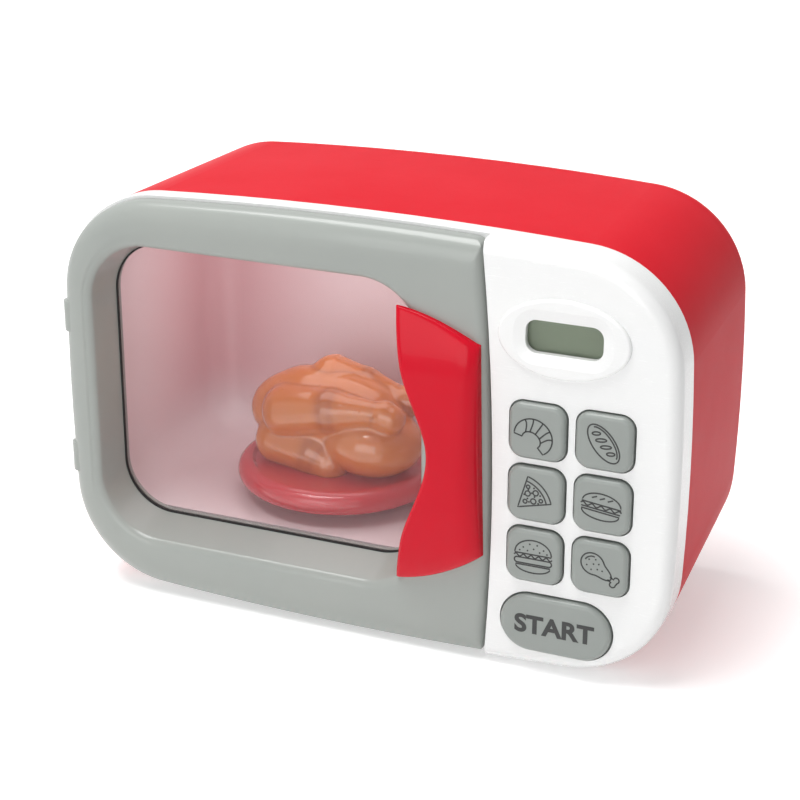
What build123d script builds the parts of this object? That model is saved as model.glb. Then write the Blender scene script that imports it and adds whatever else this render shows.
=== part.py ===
from build123d import *
from math import acos, cos, pi, sin, tan
import os

# Toy microwave, millimetres. +Z is up, the front faces -Y, and the origin is the
# centre of the toy's footprint on the table.

# Housing
body_width = 300.0
body_height = 199.0
shell_depth = 116.0       # seam to rear face
panel_reach = 19.0        # seam to the flat of the control panel
handle_reach = 31.0       # seam to the crown of the handle
ground_gap = 1.2          # table to the lowest point of the arched bottom
side_crown = 4.0
top_crown = 6.0
corner_radius = 49.0
side_taper = 5.4          # how far each side draws in towards the rear face
top_taper = 2.2
bottom_taper = 5.6
rear_round = 12.0
bezel_round = 6.0
bezel_inner_round = 2.5
wall = 2.3
fit_gap = 0.3             # between pieces that are put together and stay
screw_gap = 0.05          # round a screw's shank and a pressed pin
running_gap = 0.05        # round a turning shaft

# Door
door_seat = 9.0           # seam to the face that the door closes on
door_clearance = 0.4
door_reach = 20.0         # seam to the front of the door
door_inset = 1.2
door_round = 5.5
door_gap = 1.2
edge_top_x = 58.6         # the door's right edge bows towards the panel
edge_middle_x = 65.6
edge_bottom_x = 62.6
edge_span = 105.0
liner_plate = 2.0
door_boss_radius = 3.2
door_screw_spots = ((-100.0, 188.5), (-20.0, 190.0), (38.0, 189.5), (-100.0, 14.5), (-20.0, 13.0), (38.0, 13.5))
notch_height = 56.0
notch_depth = 2.0
knuckle_gap = 0.5         # above and below the bezel's knuckle
hinge_barrel = 3.0
hinge_inset = 3.9         # door's left side to the hinge axis
hinge_ahead = 13.8
hinge_bearing = 4.3
hinge_pin_radius = 1.25
hinge_pin_length = 86.0
latch_x = 52.0
latch_thickness = 2.4
latch_gap = 0.1
latch_height = 20.0
latch_bulb = 3.6
latch_reach = 12.0        # how far the tongue stands behind the door
latch_slot_width = 7.0
latch_slot_height = 24.0
latch_foot = 3.0          # how far the latch's foot plate reaches round the tongue
latch_foot_height = 1.6
clip_leaf = 0.5
clip_length = 9.0

# Window: a recess whose walls draft inwards from the rim to the pane
rim_left = -132.6
rim_right = 33.0
rim_bottom = 28.2
rim_top = 175.8
rim_corner = 30.0
side_draft = 3.0
sill_draft = 7.4
head_draft = 4.3
corner_draft = 5.0
recess_wall = 2.0
recess_flange = 1.2
gasket_lip = 0.8
gasket_thickness = 0.8
pane_thickness = 1.5
pane_cover = 2.5          # how far the pane reaches past the opening
sleeve_gap = 0.3
sleeve_wall = 1.3
sleeve_lip = 1.5
sleeve_opening = 0.4      # pane opening to the sleeve's inner lip
mouth_gap = 1.4

# Cavity
cavity_left = -137.0
cavity_right = 38.0
cavity_floor = 36.7
cavity_ceiling = 178.0
cavity_front = 5.0
cavity_back = 110.5
cavity_corner = 18.0
cavity_back_corner = 15.0
liner_wall = 1.6
liner_flange = 4.0

# Housing screws and their bosses
screw_radius = 1.5
screw_head_radius = 3.0
screw_head_height = 2.2
boss_radius = 4.4
well_radius = 3.4
boss_web = 2.4
screw_depth = 5.5
upper_boss_z = 188.0
lower_boss_z = 16.0
left_boss_x = -80.0
middle_boss_x = 57.0
right_boss_x = 137.5
right_boss_spread = 45.0

# Feet
foot_x = 92.0
foot_front = 18.0
foot_rear = 92.0
foot_radius = 8.2
foot_height = 3.0
foot_stem_radius = 2.0
foot_stem_length = 3.0
foot_pad_edge = 0.8
foot_pad_height = 11.0

# Control panel
column_x = (87.6, 117.6)
row_z = (117.4, 88.0, 58.6)
button_size = 25.4
button_corner = 6.0
button_proud = 2.8
button_edge = 2.2
button_gap = 0.8
button_flange = 1.5
flange_thickness = 1.2
button_travel = 1.5
start_x = 98.2
start_z = 25.6
start_width = 51.4
start_height = 27.4
start_flange_z = 0.7
plunger_radius = 4.5
plunger_length = 4.2
dome_gap = 0.3
dome_height = 3.2
dome_radius = 7.5
sheet_thickness = 1.2
display_x = 98.0
display_z = 160.1
display_width = 34.5
display_height = 14.8
display_corner = 5.0
surround_width = 59.0
surround_height = 35.6
surround_rise = 1.6
dish_reach = 5.0          # how far the surround slopes in towards the display
dish_depth = 1.2
lens_thickness = 1.0
module_thickness = 2.8
module_width = 42.0
module_height = 22.0
holder_wall = 1.3
board_thickness = 1.6
board_left = 70.5
board_right = 132.5
board_bottom = 12.0
board_top = 174.0
board_corner = 4.0
board_cut = 18.0          # lower right corner, clear of the housing's rounded corner
connector_height = 3.5
connector_width = 8.0
connector_length = 6.0
chip_size = 17.0
crystal_width = 9.0
crystal_length = 5.0
capacitor_radius = 3.2
board_screw_spots = ((76.0, 138.5), (128.0, 138.5), (73.2, 39.0), (128.6, 37.0))
board_boss_radius = 2.4
small_screw_radius = 1.0
small_head_radius = 1.9
small_head_height = 1.3
small_head_sink = 0.2

# Handle: its left edge curves in to a waist, its right edge leans with the door's edge
handle_wall = 3.0
handle_side_wall = 4.0
handle_end_reach = 1.6    # door front to the handle's crown at its two ends
handle_left_x = 22.0
handle_right_x = 63.5
handle_right_top_x = 61.0
handle_bottom_z = 36.0
handle_top_z = 165.6
handle_waist_x = 39.9
handle_waist_z = 102.4
handle_shoulder_x = 26.0
handle_shoulder_z = (56.0, 140.5)
handle_slope_z = (54.0, 152.6)    # where the right edge meets the sloping ends
handle_thread = 2.4
handle_screw_x = 50.0
handle_screw_z = (50.0, 151.0)

# Turntable and its drive
plate_x = -41.0
plate_behind = 57.5
plate_radius = 51.0
plate_bottom = 42.7
plate_height = 12.0
plate_rim = 5.6
plate_dish = 1.6
chicken_forward = 4.0     # chicken's middle, ahead of the plate's
gear_module = 0.8
small_teeth = 12
large_teeth = 36
addendum = 0.6
dedendum = 0.9
tooth_play = 0.12
pressure_angle = 20.0 * pi / 180
tray_bottom = 18.0
tray_floor = 2.0
tray_wall = 1.6
gear_room = 2.4
large_gear_z = 22.0
large_gear_width = 3.0
output_gear_z = 28.5
output_gear_width = 4.0
spindle_radius = 3.0
journal_radius = 4.5
bush_wall = 2.0
bush_rise = 1.0           # bush above the cavity's floor
dog_gap = 0.6             # bush to the shoulder under the square dog
dog_size = 9.0
socket_gap = 0.1
ear_spots = (7.0, 31.4)
ear_reach = 23.0
ear_radius = 4.2
ear_bottom = 28.0
ear_boss_radius = 3.2
motor_radius = 12.0
motor_height = 10.6
motor_shaft_radius = 1.0
lead_radius = 0.8
motor_lead_z = 8.4

# Back: battery box and speaker
battery_x = 86.0
battery_z = 62.0
cell_length = 50.5
cell_radius = 7.25
cell_nub = 1.0
cell_nub_radius = 2.6
contact_thickness = 0.6
cell_count = 3
cell_pitch = 15.4
cell_room = 6.5
cell_play = 0.4
box_wall = 1.6
box_depth = 17.0
cover_thickness = 2.0
cover_gap = 0.1
cover_ear_width = 13.0
cover_ear_height = 8.0
grip_length = 22.0
grip_width = 1.2
grip_pitch = 3.0
grip_lines = 4
grip_depth = 0.5
speaker_z = 135.0
speaker_radius = 18.0
speaker_frame = 3.0
speaker_cone = 5.0
magnet_radius = 9.5
magnet_height = 4.0
clamp_thickness = 1.2
clamp_reach = 24.5
grille_slots = 5
grille_pitch = 6.0
grille_width = 2.4

# Places worked out from the sizes above
seam = handle_reach - (shell_depth + handle_reach) / 2
mid_z = ground_gap + body_height / 2
door_rear = door_seat + door_clearance
door_left = door_inset - body_width / 2
hinge_x = door_left + hinge_inset
panel_inside = panel_reach - wall
rear_inside = shell_depth - wall
plunger_end = panel_inside - fit_gap - flange_thickness - plunger_length
sheet_front = plunger_end - dome_gap - dome_height
board_front = sheet_front - sheet_thickness
plate_y = seam + plate_behind
centre_distance = gear_module * (small_teeth + large_teeth) / 2
screw_spots = [
    (left_boss_x, upper_boss_z), (middle_boss_x, upper_boss_z),
    (left_boss_x, lower_boss_z), (middle_boss_x, lower_boss_z),
    (right_boss_x, mid_z - right_boss_spread), (right_boss_x, mid_z + right_boss_spread),
]
handle_spots = [(handle_screw_x, z) for z in handle_screw_z]
ear_places = [(plate_x + shift, plate_y + side * ear_reach) for shift in ear_spots for side in (-1, 1)]
speaker_screw_spots = [(battery_x + side * clamp_reach, speaker_z) for side in (-1, 1)]
button_spots = [(x, z) for z in row_z for x in column_x]
foot_spots = [(side * foot_x, seam + depth) for side in (-1, 1) for depth in (foot_front, foot_rear)]

os.makedirs("parts", exist_ok=True)


def face_on(ahead):
    """Plane that faces the front, ahead of the seam; its sketch axes are X and Z."""
    return Plane.XZ.offset(ahead - seam)


def spots_on(ahead, spots):
    return [face_on(ahead) * Location((x, z, 0)) for x, z in spots]


def save(piece, name):
    piece.part.label = name
    export_step(piece.part, f"parts/{name}.step")


def crowned_outline(half_width, half_height, corner):
    """Rounded outline about (0, 0) whose four sides are shallow arcs."""
    side_x = half_width - side_crown
    side_z = half_height - top_crown
    with BuildSketch(mode=Mode.PRIVATE) as outline:
        with BuildLine():
            ThreePointArc((-side_x, side_z), (0, half_height), (side_x, side_z))
            ThreePointArc((side_x, side_z), (half_width, 0), (side_x, -side_z))
            ThreePointArc((side_x, -side_z), (0, -half_height), (-side_x, -side_z))
            ThreePointArc((-side_x, -side_z), (-half_width, 0), (-side_x, side_z))
        make_face()
        fillet(outline.vertices(), corner)
    return outline.sketch


def front_outline(inset):
    """The housing's outline at the seam, drawn in from its surface."""
    outline = crowned_outline(body_width / 2 - inset, body_height / 2 - inset, corner_radius - inset)
    return outline.moved(Location((0, mid_z)))


def door_side(shift):
    """Everything left of the door's bowed right edge, moved right by shift."""
    low, high = mid_z - edge_span, mid_z + edge_span
    with BuildSketch(mode=Mode.PRIVATE) as side:
        with BuildLine():
            edge = ThreePointArc(
                (edge_bottom_x + shift, low), (edge_middle_x + shift, mid_z), (edge_top_x + shift, high)
            )
            Polyline(edge @ 1, (-body_width, high), (-body_width, low), edge @ 0)
        make_face()
    return side.sketch


def window_section(ahead, grow=0.0):
    """Rounded rectangle of the drafted window recess at one depth, grown outwards."""
    share = 1 - ahead / door_reach
    left = rim_left + side_draft * share - grow
    right = rim_right - side_draft * share + grow
    low = rim_bottom + sill_draft * share - grow
    high = rim_top - head_draft * share + grow
    corner = rim_corner - corner_draft * share + grow
    with BuildSketch(mode=Mode.PRIVATE) as section:
        with Locations(((left + right) / 2, (low + high) / 2)):
            RectangleRounded(right - left, high - low, corner)
    return section.sketch


def window_at(ahead, grow=0.0):
    return face_on(ahead) * window_section(ahead, grow)


def shell_form(inset):
    """Tapered body behind the seam with a rounded back, drawn in by inset."""
    depth = shell_depth - inset
    share = depth / shell_depth
    half_width = body_width / 2 - side_taper * share - inset
    half_height = (body_height - (top_taper + bottom_taper) * share) / 2 - inset
    rear_z = mid_z + (bottom_taper - top_taper) * share / 2
    with BuildPart(mode=Mode.PRIVATE) as form:
        with BuildSketch(face_on(0)):
            add(front_outline(inset))
        with BuildSketch(face_on(-depth)):
            with Locations((0, rear_z)):
                add(crowned_outline(half_width, half_height, corner_radius - inset))
        loft()
        fillet(form.faces().sort_by(Axis.Y)[-1].edges(), rear_round - inset)
    return form.part


def screw(radius, length, head_radius, head_height):
    """Pan head screw that points to +Z with the underside of its head at the origin."""
    with BuildPart(mode=Mode.PRIVATE) as fastener:
        Cylinder(radius, length, align=(Align.CENTER, Align.CENTER, Align.MIN))
        Cylinder(head_radius, head_height, align=(Align.CENTER, Align.CENTER, Align.MAX))
        fillet(fastener.faces().sort_by(Axis.Z)[0].edges(), head_height * 0.4)
        with BuildSketch(Plane.XY.offset(-head_height)):
            Rectangle(head_radius * 1.1, head_radius * 0.28)
            Rectangle(head_radius * 0.28, head_radius * 1.1)
        extrude(amount=head_height * 0.5, mode=Mode.SUBTRACT)
    return fastener.part


def gear_profile(teeth, first_tooth):
    """Involute spur gear; first_tooth is the angle of one tooth's centre in radians."""
    pitch = gear_module * teeth / 2
    base = pitch * cos(pressure_angle)
    root, tip = pitch - dedendum, pitch + addendum

    def half_angle(radius):
        slope = acos(min(1.0, base / max(radius, base)))
        spread = tan(slope) - slope - (tan(pressure_angle) - pressure_angle)
        return pi / (2 * teeth) - tooth_play / (2 * pitch) - spread

    start = max(root, base)
    radii = [root] + [start + (tip - start) * step / 4 for step in range(5)]
    points = []
    for tooth in range(teeth):
        centre = first_tooth + 2 * pi * tooth / teeth
        flank = [(radius, centre - half_angle(radius)) for radius in radii]
        back = [(radius, centre + half_angle(radius)) for radius in reversed(radii)]
        for radius, angle in flank + back:
            point = (radius * cos(angle), radius * sin(angle))
            if not points or (Vector(*point) - Vector(*points[-1])).length > 0.02:
                points.append(point)
    with BuildSketch(mode=Mode.PRIVATE) as profile:
        with BuildLine():
            Polyline(*points, close=True)
        make_face()
    return profile.sketch


# Rear shell: tapered red moulding with screw bosses, foot pads, battery opening and grille
shell_outside = shell_form(0)

with BuildPart(mode=Mode.PRIVATE) as shell_bosses:
    with BuildSketch(face_on(0)):
        with Locations(*screw_spots):
            Circle(boss_radius)
    extrude(amount=-rear_inside - 1)

with BuildPart(mode=Mode.PRIVATE) as foot_pads:
    with BuildSketch(Plane.XY.offset(foot_height)):
        with Locations(*foot_spots):
            Circle(foot_radius + foot_pad_edge)
    extrude(amount=foot_pad_height)

box_width = cell_length + cell_room + 2 * box_wall
box_height = cell_count * cell_pitch + cell_play + 2 * box_wall
ear_z = battery_z + box_height / 2 + cover_ear_height / 2

with BuildPart() as rear_shell:
    add(shell_outside)
    add(shell_form(wall), mode=Mode.SUBTRACT)
    add(shell_bosses.part & shell_outside)
    add(foot_pads.part)
    with BuildSketch(face_on(-boss_web)):
        with Locations(*screw_spots):
            Circle(well_radius)
    extrude(amount=-shell_depth, mode=Mode.SUBTRACT)
    with BuildSketch(face_on(0)):
        with Locations(*screw_spots):
            Circle(screw_radius + screw_gap)
    extrude(amount=-shell_depth, mode=Mode.SUBTRACT)
    with BuildSketch(Plane.XY.offset(foot_height)):
        with Locations(*foot_spots):
            Circle(foot_stem_radius + screw_gap)
    extrude(amount=foot_stem_length + fit_gap, mode=Mode.SUBTRACT)
    with BuildSketch(face_on(-rear_inside)):
        with Locations((battery_x, battery_z)):
            Rectangle(box_width + fit_gap, box_height + fit_gap)
        with Locations((battery_x, ear_z)):
            Rectangle(cover_ear_width + fit_gap, cover_ear_height + fit_gap)
    extrude(amount=-wall, mode=Mode.SUBTRACT)
    with BuildSketch(face_on(-rear_inside)):
        with Locations((battery_x, speaker_z)):
            with GridLocations(0, grille_pitch, 1, grille_slots):
                SlotOverall(1.5 * speaker_radius, grille_width)
    extrude(amount=-wall, mode=Mode.SUBTRACT)
    with BuildSketch(face_on(-rear_inside)):
        with Locations((battery_x, speaker_z)):
            Circle(speaker_radius + fit_gap + box_wall)
            Circle(speaker_radius + fit_gap, mode=Mode.SUBTRACT)
        with Locations(*speaker_screw_spots):
            Circle(board_boss_radius)
    extrude(amount=speaker_frame)
    with BuildSketch(face_on(speaker_frame - rear_inside)):
        with Locations(*speaker_screw_spots):
            Circle(small_screw_radius + screw_gap)
    extrude(amount=-speaker_frame - wall / 2, mode=Mode.SUBTRACT)
save(rear_shell, "rear_shell")

# Front bezel: white moulding with the door bay on the left and the control panel on the right
with BuildPart(mode=Mode.PRIVATE) as bezel_hollow:
    with BuildSketch(face_on(0)):
        add(front_outline(wall))
        add(door_side(door_gap + wall), mode=Mode.SUBTRACT)
    extrude(amount=panel_inside)
    fillet(bezel_hollow.faces().sort_by(Axis.Y)[0].edges(), bezel_inner_round)
    with BuildSketch(face_on(0)):
        add(front_outline(wall))
    extrude(amount=door_seat - wall)

notch_low = mid_z - notch_height / 2
with BuildPart() as front_bezel:
    with BuildSketch(face_on(0)):
        add(front_outline(0))
    extrude(amount=panel_reach)
    fillet(front_bezel.faces().sort_by(Axis.Y)[0].edges(), bezel_round)
    with BuildSketch(face_on(door_seat)):
        add(door_side(door_gap))
    extrude(amount=panel_reach, mode=Mode.SUBTRACT)
    with BuildSketch(face_on(panel_reach - wall / 2)):
        with Locations((display_x, display_z)):
            Ellipse(surround_width / 2, surround_height / 2)
    extrude(amount=surround_rise + wall / 2)
    fillet(front_bezel.faces().sort_by(Axis.Y)[0].edges(), surround_rise * 0.75)
    add(bezel_hollow.part, mode=Mode.SUBTRACT)
    with BuildSketch(face_on(door_seat - wall)):
        add(window_section(door_rear, recess_wall + recess_flange + sleeve_gap + sleeve_wall + mouth_gap))
    extrude(amount=wall + fit_gap, mode=Mode.SUBTRACT)
    with BuildSketch(face_on(0)):
        with Locations(*screw_spots[:4]):
            Circle(boss_radius)
    extrude(amount=door_seat - wall / 2)
    with BuildSketch(face_on(0)):
        with Locations(*screw_spots[4:]):
            Circle(boss_radius)
    extrude(amount=panel_reach - wall / 2)
    with BuildSketch(face_on(0)):
        with Locations(*screw_spots[:4]):
            Circle(boss_radius + fit_gap)
    extrude(amount=liner_wall, mode=Mode.SUBTRACT)
    with BuildSketch(face_on(0)):
        with Locations(*screw_spots):
            Circle(screw_radius + screw_gap)
    extrude(amount=screw_depth + fit_gap, mode=Mode.SUBTRACT)
    with BuildSketch(face_on(board_front)):
        with Locations(*board_screw_spots):
            Circle(board_boss_radius)
    extrude(amount=panel_reach - wall / 2 - board_front)
    with BuildSketch(face_on(board_front)):
        with Locations(*board_screw_spots):
            Circle(small_screw_radius + screw_gap)
    extrude(amount=screw_depth, mode=Mode.SUBTRACT)
    with BuildSketch(face_on(panel_inside - wall)):
        with Locations(*button_spots):
            RectangleRounded(button_size + 2 * button_gap, button_size + 2 * button_gap,
                             button_corner + button_gap)
        with Locations((start_x, start_z)):
            SlotOverall(start_width + 2 * button_gap, start_height + 2 * button_gap)
        with Locations((display_x, display_z)):
            RectangleRounded(display_width, display_height, display_corner)
    extrude(amount=3 * wall, mode=Mode.SUBTRACT)
    for ahead, reach in ((panel_reach + surround_rise - dish_depth, 0), (panel_reach + surround_rise, dish_reach)):
        with BuildSketch(face_on(ahead)):
            with Locations((display_x, display_z)):
                RectangleRounded(display_width + 2 * reach, display_height + 2 * reach, display_corner + reach)
    loft(mode=Mode.SUBTRACT)
    with BuildSketch(Plane.XY.offset(notch_low + knuckle_gap)):
        with Locations((hinge_x, seam - hinge_ahead)):
            Circle(hinge_barrel)
        with Locations((hinge_x, seam - (hinge_ahead + door_seat) / 2 + wall / 4)):
            Rectangle(2 * hinge_barrel, hinge_ahead - door_seat + wall / 2)
    extrude(amount=notch_height - 2 * knuckle_gap)
    with Locations((hinge_x, seam - hinge_ahead, mid_z)):
        Cylinder(hinge_pin_radius + screw_gap, 2 * notch_height, mode=Mode.SUBTRACT)
    with BuildSketch(face_on(door_seat - wall)):
        with Locations((latch_x, mid_z)):
            Rectangle(latch_slot_width, latch_slot_height)
    extrude(amount=wall + fit_gap, mode=Mode.SUBTRACT)
save(front_bezel, "front_bezel")

# Door frame: grey moulding with an open back, the window recess and the hinge barrels
sleeve_inner = recess_wall + recess_flange + sleeve_gap
sleeve_outer = sleeve_inner + sleeve_wall
skin_inside = door_reach - wall

with BuildPart(mode=Mode.PRIVATE) as door_channel:
    with BuildSketch(face_on(door_rear)):
        add(front_outline(door_inset + wall))
        add(door_side(-wall), mode=Mode.INTERSECT)
    extrude(amount=skin_inside - door_rear)
    fillet(door_channel.faces().sort_by(Axis.Y)[0].edges(), door_round - wall)
    loft([window_at(door_reach, recess_wall), window_at(0, recess_wall)], mode=Mode.SUBTRACT)

with BuildPart(mode=Mode.PRIVATE) as hinge_edge_waste:
    with BuildSketch(Plane.XY):
        with Locations((hinge_x, seam - hinge_ahead)):
            Rectangle(hinge_ahead, hinge_ahead, align=(Align.MAX, Align.MIN))
            Circle(hinge_bearing, mode=Mode.SUBTRACT)
    extrude(amount=body_height)

with BuildPart() as door_frame:
    with BuildSketch(face_on(door_rear)):
        add(front_outline(door_inset))
        add(door_side(0), mode=Mode.INTERSECT)
    extrude(amount=door_reach - door_rear)
    fillet(door_frame.faces().sort_by(Axis.Y)[0].edges(), door_round)
    add(door_channel.part, mode=Mode.SUBTRACT)
    loft([window_at(door_rear + 1, recess_wall), window_at(0, recess_wall)])
    extrude(window_at(0, recess_wall + recess_flange), amount=recess_flange)
    loft([window_at(door_reach + 1), window_at(-1)], mode=Mode.SUBTRACT)
    with BuildSketch(Plane.XY.offset(mid_z - hinge_pin_length / 2)):
        with Locations((hinge_x, seam - hinge_ahead)):
            Circle(hinge_bearing)
    extrude(amount=hinge_pin_length)
    add(hinge_edge_waste.part, mode=Mode.SUBTRACT)
    with BuildSketch(Plane.XY.offset(notch_low)):
        with Locations((door_left, seam - door_reach)):
            Rectangle(notch_depth, door_reach, align=(Align.MIN, Align.MIN))
        with Locations((hinge_x + hinge_bearing, seam - door_reach + wall + door_clearance)):
            Rectangle(3 * hinge_bearing, door_reach, align=(Align.MAX, Align.MIN))
    extrude(amount=notch_height, mode=Mode.SUBTRACT)
    with Locations((hinge_x, seam - hinge_ahead, mid_z)):
        Cylinder(hinge_pin_radius + screw_gap, hinge_pin_length + 1, mode=Mode.SUBTRACT)
    with BuildSketch(face_on(door_rear + liner_plate)):
        with Locations(*door_screw_spots):
            Circle(door_boss_radius)
    extrude(amount=skin_inside - door_rear - liner_plate + 0.5)
    with BuildSketch(face_on(door_rear)):
        with Locations(*door_screw_spots):
            Circle(small_screw_radius + screw_gap)
    extrude(amount=liner_plate + screw_depth, mode=Mode.SUBTRACT)
    with BuildSketch(face_on(skin_inside - 1)):
        with Locations(*handle_spots):
            Circle(screw_radius + screw_gap)
    extrude(amount=2 * wall, mode=Mode.SUBTRACT)
save(door_frame, "door_frame")

# Door liner: closes the back of the door and clamps the pane against the recess
with BuildPart() as door_liner:
    with BuildSketch(face_on(door_rear)):
        add(front_outline(door_inset + wall + fit_gap))
        add(door_side(-wall - fit_gap), mode=Mode.INTERSECT)
        with Locations((hinge_x + hinge_bearing + fit_gap, mid_z)):
            Rectangle(4 * hinge_bearing, hinge_pin_length + 1, align=(Align.MAX, Align.CENTER),
                      mode=Mode.SUBTRACT)
    extrude(amount=liner_plate)
    lip_rear = -gasket_thickness - pane_thickness - sleeve_lip
    loft([window_at(door_rear, sleeve_outer), window_at(lip_rear, sleeve_outer)])
    loft([window_at(door_rear + liner_plate + 1, sleeve_inner),
          window_at(lip_rear + sleeve_lip, sleeve_inner)], mode=Mode.SUBTRACT)
    loft([window_at(0, sleeve_opening), window_at(lip_rear - 1, sleeve_opening)], mode=Mode.SUBTRACT)
    with BuildSketch(face_on(door_rear)):
        with Locations(*door_screw_spots):
            Circle(small_head_radius + fit_gap)
    extrude(amount=small_head_height + small_head_sink, mode=Mode.SUBTRACT)
    with BuildSketch(face_on(door_rear)):
        with Locations(*door_screw_spots):
            Circle(small_screw_radius + screw_gap)
    extrude(amount=liner_plate, mode=Mode.SUBTRACT)
    with BuildSketch(face_on(door_rear)):
        with Locations((latch_x, mid_z)):
            Rectangle(latch_thickness + 2 * latch_gap, latch_height + 2 * latch_gap)
    extrude(amount=liner_plate, mode=Mode.SUBTRACT)
save(door_liner, "door_liner")

with BuildPart() as window_gasket:
    extrude(window_at(0, pane_cover), amount=-gasket_thickness)
    extrude(window_at(0, -gasket_lip), amount=-gasket_thickness, mode=Mode.SUBTRACT)
save(window_gasket, "window_gasket")

with BuildPart() as door_window:
    with BuildSketch(face_on(-gasket_thickness)):
        add(window_section(0, pane_cover))
    extrude(amount=-pane_thickness)
save(door_window, "door_window")

# Latch tongue in the door liner, and the spring clip behind the bezel that it enters
with BuildPart() as door_latch:
    with BuildSketch(face_on(door_rear + liner_plate)):
        with Locations((latch_x, mid_z)):
            RectangleRounded(latch_thickness + 2 * latch_foot, latch_height + 2 * latch_foot, latch_foot / 2)
    extrude(amount=latch_foot_height)
    with BuildSketch(face_on(door_rear + liner_plate)):
        with Locations((latch_x, mid_z)):
            Rectangle(latch_thickness, latch_height)
    extrude(amount=-latch_reach)
    with BuildSketch(Plane.XY.offset(mid_z - latch_height / 2)):
        with Locations((latch_x, seam - door_rear - liner_plate + latch_reach)):
            Circle(latch_bulb / 2)
    extrude(amount=latch_height)
save(door_latch, "door_latch")

clip_gap = latch_bulb / 2 + fit_gap
clip_flare = clip_gap - latch_thickness / 2
clip_front = seam - door_seat + wall
with BuildPart() as latch_clip:
    with BuildSketch(face_on(door_seat - wall)):
        with Locations((latch_x, mid_z)):
            Rectangle(2 * latch_slot_width, latch_height)
            Rectangle(2 * clip_gap, latch_height, mode=Mode.SUBTRACT)
    extrude(amount=-clip_leaf)
    with BuildSketch(Plane.XY.offset(mid_z - latch_height / 2)):
        for side in (-1, 1):
            with BuildLine():
                Polyline(
                    (latch_x + side * clip_gap, clip_front),
                    (latch_x + side * (clip_gap + clip_flare), clip_front + clip_length),
                    (latch_x + side * (clip_gap + clip_flare + clip_leaf), clip_front + clip_length),
                    (latch_x + side * (clip_gap + clip_leaf), clip_front),
                    close=True,
                )
            make_face()
    extrude(amount=latch_height)
save(latch_clip, "latch_clip")

with BuildPart() as hinge_pin:
    with Locations((hinge_x, seam - hinge_ahead, mid_z)):
        Cylinder(hinge_pin_radius, hinge_pin_length)
    chamfer(hinge_pin.edges().filter_by(GeomType.CIRCLE), 0.3)
save(hinge_pin, "hinge_pin")


def under_arch(drop, low, high):
    """Space between the door front and the handle's crown, the crown lowered by drop."""
    with BuildSketch(mode=Mode.PRIVATE) as side:
        with BuildLine():
            crown = ThreePointArc(
                (seam - door_reach - handle_end_reach + drop, low),
                (seam - handle_reach + drop, (low + high) / 2),
                (seam - door_reach - handle_end_reach + drop, high),
            )
            Polyline(crown @ 1, (seam, high), (seam, low), crown @ 0)
        make_face()
    return side.sketch


# Handle: arched red shell, closed on the right and open towards the window
arch_low, arch_high = handle_bottom_z - handle_wall, handle_top_z + handle_wall
end_drop = (handle_bottom_z + handle_slope_z[0]) / 2, (handle_top_z + handle_slope_z[1]) / 2
end_x = (handle_left_x + handle_right_x) / 2
with BuildPart() as door_handle:
    with BuildSketch(face_on(door_reach)):
        with BuildLine():
            left = Spline((handle_left_x, handle_top_z), (handle_shoulder_x, handle_shoulder_z[1]),
                          (handle_waist_x, handle_waist_z), (handle_shoulder_x, handle_shoulder_z[0]),
                          (handle_left_x, handle_bottom_z))
            bottom = Spline(left @ 1, (end_x, end_drop[0] - 4), (handle_right_x, handle_slope_z[0]))
            right = Line(bottom @ 1, (handle_right_top_x, handle_slope_z[1]))
            Spline(right @ 1, (end_x, end_drop[1] + 3), left @ 0)
        make_face()
    extrude(amount=handle_reach - door_reach)
    with BuildSketch(Plane.YZ):
        add(under_arch(0, arch_low, arch_high))
    extrude(amount=body_width / 2, mode=Mode.INTERSECT)
    with BuildSketch(Plane.YZ):
        add(under_arch(handle_wall, arch_low, arch_high))
    extrude(amount=handle_right_x - handle_side_wall, mode=Mode.SUBTRACT)
    with BuildSketch(face_on(door_reach)):
        with Locations(*handle_spots):
            Circle(screw_radius + screw_gap)
    extrude(amount=handle_thread, mode=Mode.SUBTRACT)
save(door_handle, "door_handle")

# Cavity liner: white box behind the bezel, held at the four screw bosses round the mouth
mouth_grow = sleeve_outer + mouth_gap
floor_underside = cavity_floor - liner_wall

with BuildPart(mode=Mode.PRIVATE) as cavity_space:
    with BuildSketch(face_on(-cavity_front)):
        with Locations(((cavity_left + cavity_right) / 2, (cavity_floor + cavity_ceiling) / 2)):
            RectangleRounded(cavity_right - cavity_left, cavity_ceiling - cavity_floor, cavity_corner)
    extrude(amount=cavity_front - cavity_back)
    fillet(cavity_space.faces().sort_by(Axis.Y)[-1].edges(), cavity_back_corner)

with BuildPart(mode=Mode.PRIVATE) as cavity_outside:
    with BuildSketch(face_on(-cavity_front)):
        with Locations(((cavity_left + cavity_right) / 2, (cavity_floor + cavity_ceiling) / 2)):
            RectangleRounded(cavity_right - cavity_left + 2 * liner_wall,
                             cavity_ceiling - cavity_floor + 2 * liner_wall, cavity_corner + liner_wall)
    extrude(amount=cavity_front - cavity_back - liner_wall)
    fillet(cavity_outside.faces().sort_by(Axis.Y)[-1].edges(), cavity_back_corner + liner_wall)

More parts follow.
